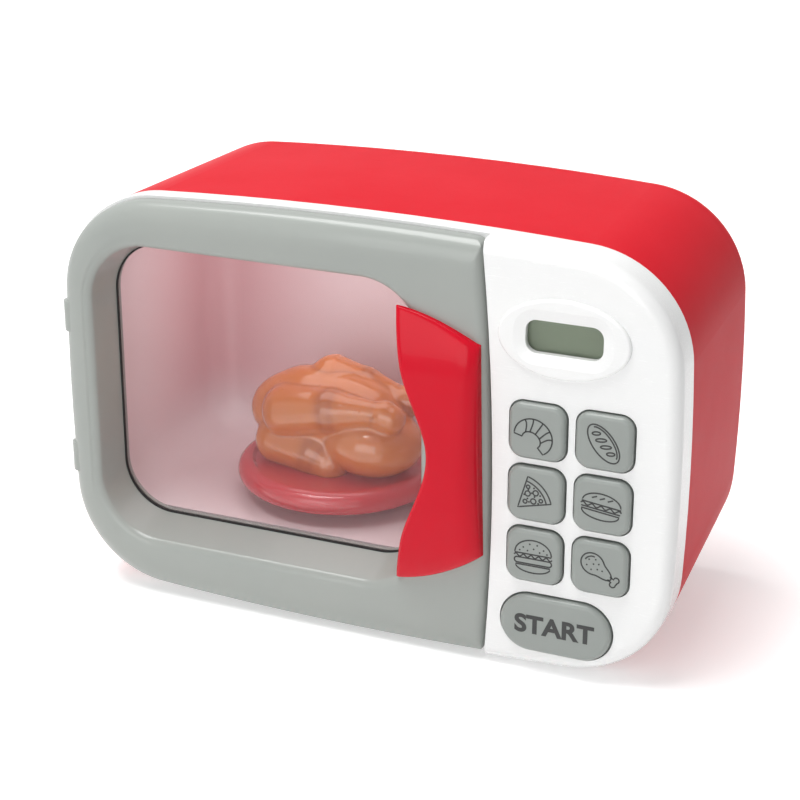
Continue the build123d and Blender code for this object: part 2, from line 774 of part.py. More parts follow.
with BuildPart() as cavity_liner:
    with BuildSketch(face_on(door_seat - wall)):
        add(window_section(door_rear, mouth_grow + liner_wall))
    extrude(amount=wall - door_seat - cavity_front - liner_wall)
    with BuildSketch(face_on(0)):
        add(window_section(door_rear, mouth_grow + liner_wall + liner_flange))
        with Locations(*screw_spots[:4]):
            Circle(boss_radius)
        for boss_z in (upper_boss_z, lower_boss_z):
            with Locations(((left_boss_x + middle_boss_x) / 2, boss_z)):
                Rectangle(middle_boss_x - left_boss_x, 2 * boss_radius)
    extrude(amount=liner_wall)
    add(cavity_outside.part)
    with BuildSketch(face_on(door_seat)):
        add(window_section(door_rear, mouth_grow))
    extrude(amount=-door_seat - cavity_front, mode=Mode.SUBTRACT)
    add(cavity_space.part, mode=Mode.SUBTRACT)
    with BuildSketch(face_on(0)):
        with Locations(*screw_spots[:4]):
            Circle(screw_radius + screw_gap)
    extrude(amount=2 * liner_wall, mode=Mode.SUBTRACT)
    with BuildSketch(Plane.XY.offset(ear_bottom + tray_floor)):
        with Locations(*ear_places):
            Circle(ear_boss_radius)
    extrude(amount=floor_underside - ear_bottom - tray_floor + liner_wall / 2)
    with BuildSketch(Plane.XY.offset(ear_bottom + tray_floor)):
        with Locations(*ear_places):
            Circle(small_screw_radius + screw_gap)
    extrude(amount=screw_depth - 1, mode=Mode.SUBTRACT)
    with Locations((plate_x, plate_y, cavity_floor)):
        Cylinder(journal_radius + bush_wall + screw_gap, 4 * liner_wall, mode=Mode.SUBTRACT)
save(cavity_liner, "cavity_liner")

with BuildPart() as rubber_feet:
    with BuildSketch(Plane.XY):
        with Locations(*foot_spots):
            Circle(foot_radius)
    extrude(amount=foot_height)
    chamfer(rubber_feet.faces().filter_by(Plane.XY).group_by(Axis.Z)[0].edges(), 0.6)
    with BuildSketch(Plane.XY.offset(foot_height)):
        with Locations(*foot_spots):
            Circle(foot_stem_radius)
    extrude(amount=foot_stem_length)
save(rubber_feet, "rubber_feet")

# Fasteners: a screw's head underside lies at each place, its shank points along the plane's normal
with BuildPart() as housing_screws:
    with Locations(*spots_on(-boss_web, screw_spots)):
        add(screw(screw_radius, boss_web + screw_depth, screw_head_radius, screw_head_height))
save(housing_screws, "housing_screws")

with BuildPart() as door_screws:
    with Locations(*spots_on(door_rear + small_head_height + small_head_sink, door_screw_spots)):
        add(screw(small_screw_radius, screw_depth - 1, small_head_radius, small_head_height))
save(door_screws, "door_screws")

with BuildPart() as handle_screws:
    with Locations(*spots_on(skin_inside, handle_spots)):
        add(screw(screw_radius, wall + handle_thread - 0.2, screw_head_radius, screw_head_height))
save(handle_screws, "handle_screws")

with BuildPart() as board_screws:
    with Locations(*spots_on(board_front - board_thickness, board_screw_spots)):
        add(screw(small_screw_radius, board_thickness + screw_depth - 1, small_head_radius,
                  small_head_height))
save(board_screws, "board_screws")

with BuildPart() as tray_screws:
    with Locations(*[(x, y, ear_bottom) for x, y in ear_places]):
        add(screw(small_screw_radius, tray_floor + screw_depth - 2, small_head_radius, small_head_height))
save(tray_screws, "tray_screws")


def push_button(width, height, corner, flange_z=button_flange):
    """Cap with a rounded front edge, a flange that stops it behind the panel, and a plunger."""
    with BuildPart(mode=Mode.PRIVATE) as button:
        with BuildSketch(face_on(panel_inside - fit_gap - flange_thickness)):
            RectangleRounded(width, height, corner)
        extrude(amount=panel_reach + button_proud - panel_inside + fit_gap + flange_thickness)
        fillet(button.faces().sort_by(Axis.Y)[0].edges(), button_edge)
        with BuildSketch(face_on(panel_inside - fit_gap - flange_thickness)):
            RectangleRounded(width + 2 * button_flange, height + 2 * flange_z, corner + flange_z)
        extrude(amount=flange_thickness)
        with BuildSketch(face_on(plunger_end)):
            Circle(plunger_radius)
        extrude(amount=plunger_length)
    return button.part


# Buttons: each slides into the panel on its own
button_names = ["croissant_button", "loaf_button", "pizza_button", "sandwich_button", "burger_button",
                "drumstick_button"]
for button_name, (x, z) in zip(button_names, button_spots):
    with BuildPart() as food_button:
        with Locations((x, 0, z)):
            add(push_button(button_size, button_size, button_corner))
    save(food_button, button_name)

with BuildPart() as start_button:
    with Locations((start_x, 0, start_z)):
        add(push_button(start_width, start_height, start_height / 2 - 0.01, start_flange_z))
save(start_button, "start_button")

# Electronics behind the panel
board_x, board_z = (board_left + board_right) / 2, (board_bottom + board_top) / 2
sheet_top = row_z[0] + button_size / 2
connector_spots = [(board_x - 18, board_z - 20), (board_x, board_z - 24), (board_x + 16, board_z - 24)]


def board_outline(top, inset):
    """Board shape up to a height, its lower right corner cut off."""
    with BuildSketch(mode=Mode.PRIVATE) as outline:
        with Locations((board_x, (board_bottom + top) / 2)):
            Rectangle(board_right - board_left - 2 * inset, top - board_bottom - 2 * inset)
        corners = outline.vertices().sort_by(lambda corner: corner.Y - corner.X)
        chamfer(corners[0], board_cut)
        fillet(corners[1:], board_corner)
    return outline.sketch


with BuildPart() as rubber_keypad:
    with BuildSketch(face_on(board_front)):
        add(board_outline(sheet_top, 0.5))
        with Locations(*board_screw_spots):
            Circle(board_boss_radius + fit_gap, mode=Mode.SUBTRACT)
    extrude(amount=sheet_thickness)
    with BuildSketch(face_on(sheet_front)):
        with Locations(*button_spots, (start_x, start_z)):
            Circle(dome_radius)
    extrude(amount=dome_height, taper=35)
save(rubber_keypad, "rubber_keypad")

with BuildPart() as control_board:
    with BuildSketch(face_on(board_front - board_thickness)):
        add(board_outline(board_top, 0))
        with Locations(*board_screw_spots):
            Circle(small_screw_radius + screw_gap, mode=Mode.SUBTRACT)
    extrude(amount=board_thickness)
save(control_board, "control_board")

with BuildPart() as board_parts:
    with BuildSketch(face_on(board_front - board_thickness)):
        with Locations((board_x, board_z)):
            Rectangle(chip_size, chip_size)
        with Locations((board_x, board_z + 30)):
            Rectangle(crystal_width, crystal_length)
        with Locations((board_x + 18, board_z + 8), (board_x + 18, board_z - 4)):
            Circle(capacitor_radius)
        with Locations(*connector_spots):
            Rectangle(connector_width, connector_length)
    extrude(amount=-connector_height)
save(board_parts, "board_parts")

with BuildPart() as display_lens:
    with BuildSketch(face_on(panel_inside)):
        with Locations((display_x, display_z)):
            RectangleRounded(module_width, module_height, 2)
    extrude(amount=-lens_thickness)
save(display_lens, "display_lens")

module_front = panel_inside - lens_thickness
with BuildPart() as display_module:
    with BuildSketch(face_on(module_front)):
        with Locations((display_x, display_z)):
            Rectangle(module_width, module_height)
    extrude(amount=-module_thickness)
save(display_module, "display_module")

with BuildPart() as display_holder:
    with BuildSketch(face_on(board_front)):
        with Locations((display_x, display_z)):
            Rectangle(module_width + 2 * holder_wall, module_height + 2 * holder_wall)
    extrude(amount=panel_inside - board_front)
    with BuildSketch(face_on(module_front - module_thickness)):
        with Locations((display_x, display_z)):
            Rectangle(module_width + 0.1, module_height + 0.1)
    extrude(amount=panel_inside, mode=Mode.SUBTRACT)
    with BuildSketch(face_on(board_front)):
        with Locations((display_x, display_z)):
            Rectangle(module_width - 2 * holder_wall, module_height - 2 * holder_wall)
    extrude(amount=panel_inside, mode=Mode.SUBTRACT)
save(display_holder, "display_holder")

# Turntable drive under the cavity floor: motor pinion, compound gear, output gear with its spindle
compound_x = plate_x + centre_distance
motor_x = compound_x + centre_distance
tray_room = gear_module * large_teeth / 2 + addendum + gear_room

with BuildPart() as gear_tray:
    with BuildSketch(Plane.XY.offset(tray_bottom)):
        with Locations((compound_x, plate_y)):
            SlotCenterToCenter(2 * centre_distance, 2 * (tray_room + tray_wall))
    extrude(amount=floor_underside - tray_bottom)
    with BuildSketch(Plane.XY.offset(ear_bottom)):
        with Locations(*ear_places):
            Circle(ear_radius)
        for side in (-1, 1):
            for shift in ear_spots:
                with Locations((plate_x + shift, plate_y + side * (ear_reach - ear_radius))):
                    Rectangle(2 * ear_radius, 2 * ear_radius)
    extrude(amount=tray_floor)
    with BuildSketch(Plane.XY.offset(tray_bottom + tray_floor)):
        with Locations((compound_x, plate_y)):
            SlotCenterToCenter(2 * centre_distance, 2 * tray_room)
    extrude(amount=floor_underside, mode=Mode.SUBTRACT)
    with BuildSketch(Plane.XY.offset(ear_bottom)):
        with Locations(*ear_places):
            Circle(small_screw_radius + screw_gap)
    extrude(amount=tray_floor, mode=Mode.SUBTRACT)
    with BuildSketch(Plane.XY.offset(tray_bottom - tray_floor)):
        with Locations((plate_x, plate_y)):
            Circle(spindle_radius + tray_wall)
        with Locations((compound_x, plate_y)):
            Circle(motor_shaft_radius + tray_wall)
    extrude(amount=tray_floor)
    with BuildSketch(Plane.XY.offset(tray_bottom - motor_height + 2)):
        with Locations((motor_x, plate_y)):
            Circle(motor_radius + screw_gap + tray_wall)
            Circle(motor_radius + screw_gap, mode=Mode.SUBTRACT)
    extrude(amount=motor_height - 2)
    with Locations((plate_x, plate_y, tray_bottom - tray_floor / 2)):
        Cylinder(spindle_radius + running_gap, 2 * tray_floor, align=(Align.CENTER, Align.CENTER, Align.MIN),
                 mode=Mode.SUBTRACT)
    with Locations((compound_x, plate_y, tray_bottom - tray_floor / 2)):
        Cylinder(motor_shaft_radius + screw_gap, 2 * tray_floor,
                 align=(Align.CENTER, Align.CENTER, Align.MIN), mode=Mode.SUBTRACT)
    with Locations((motor_x, plate_y, tray_bottom)):
        Cylinder(3 * motor_shaft_radius + screw_gap, tray_floor,
                 align=(Align.CENTER, Align.CENTER, Align.MIN), mode=Mode.SUBTRACT)
save(gear_tray, "gear_tray")

with BuildPart() as drive_motor:
    with Locations((motor_x, plate_y, tray_bottom)):
        Cylinder(motor_radius, motor_height, align=(Align.CENTER, Align.CENTER, Align.MAX))
    fillet(drive_motor.faces().sort_by(Axis.Z)[0].edges(), 1.0)
    with Locations((motor_x, plate_y, tray_bottom)):
        Cylinder(3 * motor_shaft_radius, tray_floor - 0.4, align=(Align.CENTER, Align.CENTER, Align.MIN))
save(drive_motor, "drive_motor")

with BuildPart() as motor_pinion:
    with BuildSketch(Plane.XY.offset(large_gear_z - 0.5)):
        with Locations((motor_x, plate_y)):
            add(gear_profile(small_teeth, pi / small_teeth))
    extrude(amount=large_gear_width + 1)
    with Locations((motor_x, plate_y, tray_bottom + tray_floor)):
        Cylinder(motor_shaft_radius, large_gear_z - tray_bottom - tray_floor,
                 align=(Align.CENTER, Align.CENTER, Align.MIN))
save(motor_pinion, "motor_pinion")

output_gear_top = output_gear_z + output_gear_width
with BuildPart() as compound_gear:
    with BuildSketch(Plane.XY.offset(large_gear_z)):
        with Locations((compound_x, plate_y)):
            add(gear_profile(large_teeth, 0))
    extrude(amount=large_gear_width)
    with BuildSketch(Plane.XY.offset(large_gear_z + large_gear_width)):
        with Locations((compound_x, plate_y)):
            add(gear_profile(small_teeth, pi / small_teeth))
    extrude(amount=output_gear_top + 0.5 - large_gear_z - large_gear_width)
    with Locations((compound_x, plate_y, tray_bottom + tray_floor + running_gap)):
        Cylinder(3 * motor_shaft_radius, large_gear_z - tray_bottom - tray_floor - running_gap,
                 align=(Align.CENTER, Align.CENTER, Align.MIN))
    with Locations((compound_x, plate_y, large_gear_z)):
        Cylinder(motor_shaft_radius + running_gap, body_height, mode=Mode.SUBTRACT)
save(compound_gear, "compound_gear")

with BuildPart() as gear_axle:
    with Locations((compound_x, plate_y, tray_bottom - tray_floor / 2)):
        Cylinder(motor_shaft_radius, floor_underside - tray_bottom + tray_floor / 2 - running_gap,
                 align=(Align.CENTER, Align.CENTER, Align.MIN))
save(gear_axle, "gear_axle")

bush_top = cavity_floor + bush_rise
with BuildPart() as turntable_bush:
    with Locations((plate_x, plate_y, floor_underside - 1)):
        Cylinder(journal_radius + bush_wall, cavity_floor - floor_underside + 1,
                 align=(Align.CENTER, Align.CENTER, Align.MIN))
    with Locations((plate_x, plate_y, cavity_floor)):
        Cylinder(journal_radius + 2 * bush_wall, bush_top - cavity_floor,
                 align=(Align.CENTER, Align.CENTER, Align.MIN))
    with Locations((plate_x, plate_y, cavity_floor)):
        Cylinder(journal_radius + running_gap, 6 * liner_wall, mode=Mode.SUBTRACT)
save(turntable_bush, "turntable_bush")

dog_bottom = bush_top + dog_gap
with BuildPart() as output_gear:
    with BuildSketch(Plane.XY.offset(output_gear_z)):
        with Locations((plate_x, plate_y)):
            add(gear_profile(large_teeth, 0))
    extrude(amount=output_gear_width)
    with Locations((plate_x, plate_y, tray_bottom - tray_floor / 2 + running_gap)):
        Cylinder(spindle_radius, output_gear_z - tray_bottom + tray_floor / 2,
                 align=(Align.CENTER, Align.CENTER, Align.MIN))
    with Locations((plate_x, plate_y, output_gear_top)):
        Cylinder(journal_radius, dog_bottom - output_gear_top, align=(Align.CENTER, Align.CENTER, Align.MIN))
    with BuildSketch(Plane.XY.offset(dog_bottom)):
        with Locations((plate_x, plate_y)):
            Rectangle(dog_size, dog_size)
            Circle(journal_radius + 1, mode=Mode.INTERSECT)
    extrude(amount=plate_bottom + plate_rim - dog_bottom)
save(output_gear, "output_gear")

# Turntable plate: thick round rim, slightly dished top, hub with a square socket
plate_top = plate_bottom + plate_height
dish_radius = plate_radius - plate_rim - 2 * plate_dish
dog_top = plate_bottom + plate_rim
with BuildPart() as turntable_plate:
    with BuildSketch(Plane((plate_x, plate_y, 0), (1, 0, 0), (0, -1, 0))):
        with BuildLine():
            under = Line((0, plate_bottom), (plate_radius - plate_rim, plate_bottom))
            rim = ThreePointArc(under @ 1, (plate_radius, plate_bottom + plate_height / 2),
                                (plate_radius - plate_rim, plate_top))
            Polyline(rim @ 1, (dish_radius + plate_dish, plate_top), (dish_radius, plate_top - plate_dish),
                     (0, plate_top - plate_dish), (0, plate_bottom))
        make_face()
    revolve(axis=Axis((plate_x, plate_y, 0), (0, 0, 1)))
    with Locations((plate_x, plate_y, dog_bottom + 0.2)):
        Cylinder(journal_radius + 2 * bush_wall - 0.5, plate_bottom - dog_bottom,
                 align=(Align.CENTER, Align.CENTER, Align.MIN))
    with BuildSketch(Plane.XY.offset(dog_bottom)):
        with Locations((plate_x, plate_y)):
            Rectangle(dog_size + 2 * socket_gap, dog_size + 2 * socket_gap)
            Circle(journal_radius + 1 + socket_gap, mode=Mode.INTERSECT)
    extrude(amount=dog_top + socket_gap - dog_bottom, mode=Mode.SUBTRACT)
save(turntable_plate, "turntable_plate")


def lump(half_size, centre, turn):
    """Ellipsoid whose half axes are half_size, turned by three angles about its centre."""
    with BuildPart(mode=Mode.PRIVATE) as ball:
        Sphere(1)
        scale(by=half_size)
    return Location(centre, turn) * ball.part


# Roast chicken: body and tail end, folded legs with their knuckles, and wings, flat where it lies
chicken_base = plate_top - plate_dish
chicken_y = plate_y - chicken_forward
with BuildPart() as roast_chicken:
    add(lump((44, 28, 26), (plate_x - 4, chicken_y, chicken_base + 24), (0, 0, 0)))
    add(lump((27, 27, 19), (plate_x + 19, chicken_y, chicken_base + 16), (0, 0, 0)))
    for side in (-1, 1):
        add(lump((31, 9, 10), (plate_x + 7, chicken_y + side * 18, chicken_base + 38), (0, 2, side * -3)))
        add(lump((7, 6.5, 6.5), (plate_x + 37, chicken_y + side * 16, chicken_base + 37), (0, 0, 0)))
        add(lump((19, 7, 10), (plate_x - 11, chicken_y + side * 24, chicken_base + 15), (0, 12, 0)))
    split(bisect_by=Plane.XY.offset(chicken_base))
save(roast_chicken, "roast_chicken")

# Battery box behind the opening in the back, its cells, contacts and cover
room_width, room_height = box_width - 2 * box_wall, box_height - 2 * box_wall
with BuildPart() as battery_box:
    with BuildSketch(face_on(-rear_inside)):
        with Locations((battery_x, battery_z)):
            Rectangle(box_width, box_height)
    extrude(amount=box_depth)
    with BuildSketch(face_on(-rear_inside)):
        with Locations((battery_x, battery_z)):
            Rectangle(box_width + 4 * box_wall, box_height + 4 * box_wall)
    extrude(amount=box_wall)
    with BuildSketch(face_on(-rear_inside)):
        with Locations((battery_x, ear_z)):
            Circle(cover_ear_height / 2)
    extrude(amount=screw_depth + box_wall)
    with BuildSketch(face_on(-rear_inside)):
        with Locations((battery_x, battery_z)):
            Rectangle(room_width, room_height)
    extrude(amount=box_depth - box_wall, mode=Mode.SUBTRACT)
    with BuildSketch(face_on(-rear_inside)):
        with Locations((battery_x, ear_z)):
            Circle(small_screw_radius + screw_gap)
    extrude(amount=screw_depth, mode=Mode.SUBTRACT)
save(battery_box, "battery_box")

cell_spots = [(battery_z + (row - 1) * cell_pitch, (-1) ** row) for row in range(cell_count)]
cell_y = seam + rear_inside - cell_radius - cell_play
with BuildPart() as batteries:
    for z, way in cell_spots:
        with Locations((battery_x - way * cell_nub / 2, cell_y, z)):
            Cylinder(cell_radius, cell_length - cell_nub, rotation=(0, 90, 0))
        with Locations((battery_x + way * (cell_length - 2 * cell_nub) / 2, cell_y, z)):
            Cylinder(cell_nub_radius, 2 * cell_nub, rotation=(0, 90, 0))
save(batteries, "batteries")

contact_reach = (room_width - cell_length) / 2
with BuildPart() as battery_contacts:
    for z, way in cell_spots:
        for side in (-1, 1):
            with Locations((battery_x + side * (room_width - contact_thickness) / 2, cell_y, z)):
                Box(contact_thickness, 11, 12)
            with Locations((battery_x + side * (room_width - contact_reach) / 2, cell_y, z)):
                Cylinder(cell_nub_radius, contact_reach, rotation=(0, 90, 0))
save(battery_contacts, "battery_contacts")

cover_front = -rear_inside - cover_gap
with BuildPart() as battery_cover:
    with BuildSketch(face_on(cover_front)):
        with Locations((battery_x, battery_z)):
            Rectangle(box_width - fit_gap, box_height - fit_gap)
        with Locations((battery_x, ear_z - fit_gap)):
            Rectangle(cover_ear_width - fit_gap, cover_ear_height)
    extrude(amount=-cover_thickness)
    with BuildSketch(face_on(cover_front - cover_thickness)):
        with Locations((battery_x, ear_z)):
            Circle(small_head_radius + fit_gap)
    extrude(amount=small_head_height, mode=Mode.SUBTRACT)
    with BuildSketch(face_on(cover_front)):
        with Locations((battery_x, ear_z)):
            Circle(small_screw_radius + screw_gap)
    extrude(amount=-cover_thickness, mode=Mode.SUBTRACT)
    with BuildSketch(face_on(cover_front - cover_thickness)):
        with Locations((battery_x, battery_z - box_height / 4)):
            with GridLocations(0, grip_pitch, 1, grip_lines):
                SlotOverall(grip_length, grip_width)
    extrude(amount=grip_depth, mode=Mode.SUBTRACT)
save(battery_cover, "battery_cover")

with BuildPart() as cover_screw:
    with Locations(*spots_on(cover_front - cover_thickness + small_head_height, [(battery_x, ear_z)])):
        add(screw(small_screw_radius, screw_depth - 1, small_head_radius, small_head_height - 0.1))
save(cover_screw, "cover_screw")

# Speaker behind the grille, held by a clamp ring
with BuildPart() as speaker:
    with BuildSketch(face_on(-rear_inside)):
        with Locations((battery_x, speaker_z)):
            Circle(speaker_radius)
    extrude(amount=speaker_frame)
    with BuildSketch(face_on(speaker_frame - rear_inside)):
        with Locations((battery_x, speaker_z)):
            Circle(speaker_radius - 3)
    extrude(amount=speaker_cone, taper=35)
    with BuildSketch(face_on(speaker_frame + speaker_cone - rear_inside)):
        with Locations((battery_x, speaker_z)):
            Circle(magnet_radius)
    extrude(amount=magnet_height)
save(speaker, "speaker")

with BuildPart() as speaker_clamp:
    with BuildSketch(face_on(speaker_frame - rear_inside)):
        with Locations((battery_x, speaker_z)):
            Circle(speaker_radius + fit_gap + box_wall)
            SlotCenterToCenter(2 * clamp_reach, 2 * board_boss_radius + 1)
            Circle(speaker_radius - 2.5, mode=Mode.SUBTRACT)
        with Locations(*speaker_screw_spots):
            Circle(small_screw_radius + screw_gap, mode=Mode.SUBTRACT)
    extrude(amount=clamp_thickness)
save(speaker_clamp, "speaker_clamp")

with BuildPart() as speaker_screws:
    with Locations(*[Location(seat) * Location((0, 0, 0), (180, 0, 0))
                     for seat in spots_on(speaker_frame + clamp_thickness - rear_inside, speaker_screw_spots)]):
        add(screw(small_screw_radius, clamp_thickness + speaker_frame, small_head_radius, small_head_height))
save(speaker_screws, "speaker_screws")


def lead(route):
    """Round lead along straight runs joined by arcs as large as the runs allow."""
    points = [Vector(*point) for point in route]
    radii = []
    for before, corner, after in zip(points, points[1:], points[2:]):
        run_in, run_out = corner - before, after - corner
        turn = run_in.get_angle(run_out) * pi / 180
        radii.append(0.45 * min(run_in.length, run_out.length) / tan(turn / 2))
    print("lead radii", [round(radius, 1) for radius in radii])
    with BuildPart(mode=Mode.PRIVATE) as tube:
        with BuildLine() as path:
            FilletPolyline(*points, radius=radii)
        with BuildSketch(Plane(points[0], z_dir=points[1] - points[0])):
            Circle(lead_radius)
        sweep(path=path.wires()[0])
    return tube.part


# Leads from the back and the motor to the plugs on the control board
plug_y = seam - board_front + board_thickness + connector_height
speaker_plug, battery_plug, motor_plug = connector_spots
with BuildPart() as battery_lead:
    battery_lead_x, battery_lead_y = battery_x, seam + rear_inside - box_depth
    add(lead([
        (battery_lead_x, battery_lead_y, battery_z + 16), (battery_lead_x, battery_lead_y - 40, battery_z + 16),
        (battery_plug[0], plug_y + 30, battery_plug[1]), (battery_plug[0], plug_y, battery_plug[1]),
    ]))
save(battery_lead, "battery_lead")

with BuildPart() as speaker_lead:
    speaker_lead_y = seam + rear_inside - speaker_frame - speaker_cone - magnet_height
    add(lead([
        (battery_x, speaker_lead_y, speaker_z), (battery_x, speaker_lead_y - 36, speaker_z),
        (speaker_plug[0], plug_y + 34, speaker_plug[1]), (speaker_plug[0], plug_y, speaker_plug[1]),
    ]))
save(speaker_lead, "speaker_lead")

with BuildPart() as motor_lead:
    add(lead([
        (motor_x + motor_radius, plate_y, motor_lead_z), (motor_x + 32, plate_y, motor_lead_z),
        (motor_x + 50, plate_y - 2, motor_lead_z + 18), (motor_x + 84, plate_y - 10, motor_lead_z + 26),
        (motor_plug[0] - 4, plate_y - 22, motor_plug[1] - 16),
        (motor_plug[0], plug_y + 22, motor_plug[1]), (motor_plug[0], plug_y, motor_plug[1]),
    ]))
save(motor_lead, "motor_lead")
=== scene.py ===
import bmesh
import bpy
import math
import numpy as np
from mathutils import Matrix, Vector


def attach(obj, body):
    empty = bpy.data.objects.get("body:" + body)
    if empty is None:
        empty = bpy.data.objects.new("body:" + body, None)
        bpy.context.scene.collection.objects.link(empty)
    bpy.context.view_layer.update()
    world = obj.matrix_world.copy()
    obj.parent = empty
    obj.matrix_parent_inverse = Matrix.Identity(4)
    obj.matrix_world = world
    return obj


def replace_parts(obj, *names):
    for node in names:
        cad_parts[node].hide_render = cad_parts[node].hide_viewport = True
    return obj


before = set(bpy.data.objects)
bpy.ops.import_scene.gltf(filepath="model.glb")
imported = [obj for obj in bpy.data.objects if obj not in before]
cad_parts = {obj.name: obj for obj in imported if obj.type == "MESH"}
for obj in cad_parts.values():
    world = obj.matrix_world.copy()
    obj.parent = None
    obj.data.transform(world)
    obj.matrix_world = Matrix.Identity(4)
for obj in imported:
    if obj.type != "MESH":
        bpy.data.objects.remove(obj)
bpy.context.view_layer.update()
mm = 0.001
seamY = -42.5                            # where the red shell meets the white bezel
midZ = 100.7                             # middle height of the housing
print("frame loaded:", len(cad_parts), "nodes")


def addObject(name, data):
    # Object for a mesh, lamp or camera, linked to the scene
    piece = bpy.data.objects.new(name, data)
    bpy.context.scene.collection.objects.link(piece)
    return piece


# Camera at the photograph's viewing angle

cameraSettings = {"azimuth": 23.20, "elevation": 21.81, "distance": 0.92071,
                  "target": (0.01508, -0.0425, 0.11316), "lens": 92.32, "sight": 20}


def addCamera(settings):
    azimuth, elevation = math.radians(settings["azimuth"]), math.radians(settings["elevation"])
    away = Vector((math.sin(azimuth) * math.cos(elevation), -math.cos(azimuth) * math.cos(elevation),
                   math.sin(elevation)))
    camera = addObject("camera", bpy.data.cameras.new("camera"))
    camera.location = Vector(settings["target"]) + settings["distance"] * away
    camera.rotation_euler = away.to_track_quat("Z", "Y").to_euler()
    camera.data.lens = settings["lens"]
    camera.data.clip_end = settings["sight"]
    bpy.context.scene.camera = camera


addCamera(cameraSettings)


# Lines and grids that the pieces are made from, in millimetres

def quarterRoll(depth, width, height):
    # Height lost near an edge: a quarter ellipse, height at the edge and nothing from width inwards
    share = np.clip(1 - depth / width, 0, 1)
    return height * (1 - np.sqrt(1 - share ** 2))


def arcPoints(centre, radius, start, end, count):
    # Points on a circle from the start angle up to, but not at, the end angle
    angle = np.linspace(start, end, count, endpoint=False)
    return np.stack([centre[0] + radius * np.cos(angle), centre[1] + radius * np.sin(angle)], 1)


housingSettings = {"halfWidth": 150.0, "halfHeight": 99.5, "corner": 49.0, "sideRise": 4.0, "topRise": 6.0}


def bowRadius(half, rise):
    # Radius of an arc from half its chord and its rise
    return (half ** 2 + rise ** 2) / (2 * rise)


def crownedCorner(inset):
    # First quarter of the housing's outline, moved inwards: side, top and corner circles
    s = housingSettings
    halfWidth, halfHeight, corner = s["halfWidth"] - inset, s["halfHeight"] - inset, s["corner"] - inset
    sideRadius = bowRadius(halfHeight - s["topRise"], s["sideRise"])
    topRadius = bowRadius(halfWidth - s["sideRise"], s["topRise"])
    side = np.array([halfWidth - sideRadius, 0.0])
    top = np.array([0.0, halfHeight - topRadius])
    reachSide, reachTop = sideRadius - corner, topRadius - corner
    apart = np.linalg.norm(top - side)
    along = (reachSide ** 2 - reachTop ** 2 + apart ** 2) / (2 * apart)
    across = math.sqrt(reachSide ** 2 - along ** 2)
    direction = (top - side) / apart
    middle = side + direction * along
    sideways = across * np.array([-direction[1], direction[0]])
    centre = middle + sideways
    if centre[0] < 0 or centre[1] < 0:
        centre = middle - sideways
    return {"side": side, "sideRadius": sideRadius, "top": top, "topRadius": topRadius, "centre": centre,
            "corner": corner, "low": math.atan2(centre[1] - side[1], centre[0] - side[0]),
            "high": math.atan2(centre[1] - top[1], centre[0] - top[0])}


def crownedDepth(x, z, shape):
    # How far inside the crowned outline a point lies: from the corner circle where that rules, else
    # from the nearer of the side and the top circle
    x, z = np.abs(x), np.abs(z)
    toSide = shape["sideRadius"] - np.hypot(x - shape["side"][0], z - shape["side"][1])
    toTop = shape["topRadius"] - np.hypot(x - shape["top"][0], z - shape["top"][1])
    cx, cz = shape["centre"]
    angle = np.arctan2(z - cz, x - cx)
    inCorner = (angle > shape["low"]) & (angle < shape["high"])
    toCorner = shape["corner"] - np.hypot(x - cx, z - cz)
    return np.where(inCorner, toCorner, np.minimum(toSide, toTop))


def sectionLoop(left, right, low, high, corner, cornerCount, sideCount):
    # Rounded rectangle, anticlockwise from the low end of its right side
    pieces = []
    corners = [(right - corner, high - corner, 0), (left + corner, high - corner, 90),
               (left + corner, low + corner, 180), (right - corner, low + corner, 270)]
    starts = [(right, low + corner), (right - corner, high), (left, high - corner), (left + corner, low)]
    ends = [(right, high - corner), (left + corner, high), (left, low + corner), (right - corner, low)]
    for (cx, cz, turn), start, end in zip(corners, starts, ends):
        share = np.linspace(0, 1, sideCount, endpoint=False)[:, None]
        pieces.append(np.array(start) * (1 - share) + np.array(end) * share)
        pieces.append(arcPoints((cx, cz), corner, math.radians(turn), math.radians(turn + 90), cornerCount))
    return np.concatenate(pieces)


def placed(x, ahead, z):
    # Model place of points given across, ahead of the seam and up
    return np.stack([x, seamY - ahead, z], -1) * mm


def gridFaces(rows, columns, closeRows=False, closeColumns=True):
    # Quads between neighbouring rows and columns, turned to face along row x column
    rowIndex = np.arange(rows if closeRows else rows - 1)
    columnIndex = np.arange(columns if closeColumns else columns - 1)
    row, column = np.meshgrid(rowIndex, columnIndex, indexing="ij")
    nextRow, nextColumn = (row + 1) % rows, (column + 1) % columns
    corners = [row * columns + column, row * columns + nextColumn,
               nextRow * columns + nextColumn, nextRow * columns + column]
    return np.stack([corner.ravel() for corner in corners], 1)


def capFaces(ring, tip, flip=False):
    # Triangles from a closed ring of vertices to one tip vertex
    following = np.roll(ring, -1)
    order = [following, ring] if flip else [ring, following]
    return np.stack(order + [np.full_like(ring, tip)], 1)


def addMesh(name, points, faceSets, material, sharpAngle=None, outward=True):
    # Mesh from one array of points and several arrays of faces, smooth, its faces turned outwards
    mesh = bpy.data.meshes.new(name)
    faces = [face for faceSet in faceSets for face in faceSet.tolist()]
    mesh.from_pydata(points.reshape(-1, 3), [], faces)
    mesh.update()
    if outward:
        turnOutward(mesh)
    mesh.polygons.foreach_set("use_smooth", np.ones(len(mesh.polygons), bool))
    if sharpAngle:
        mesh.set_sharp_from_angle(angle=math.radians(sharpAngle))
    mesh.materials.append(material)
    return addObject(name, mesh)


def turnOutward(mesh, merge=None):
    # Faces turned outwards, after points nearer to each other than merge are made one
    work = bmesh.new()
    work.from_mesh(mesh)
    if merge:
        bmesh.ops.remove_doubles(work, verts=work.verts, dist=merge)
    bmesh.ops.recalc_face_normals(work, faces=work.faces)
    work.to_mesh(mesh)
    work.free()


# Effects that several materials share, each a node group built once

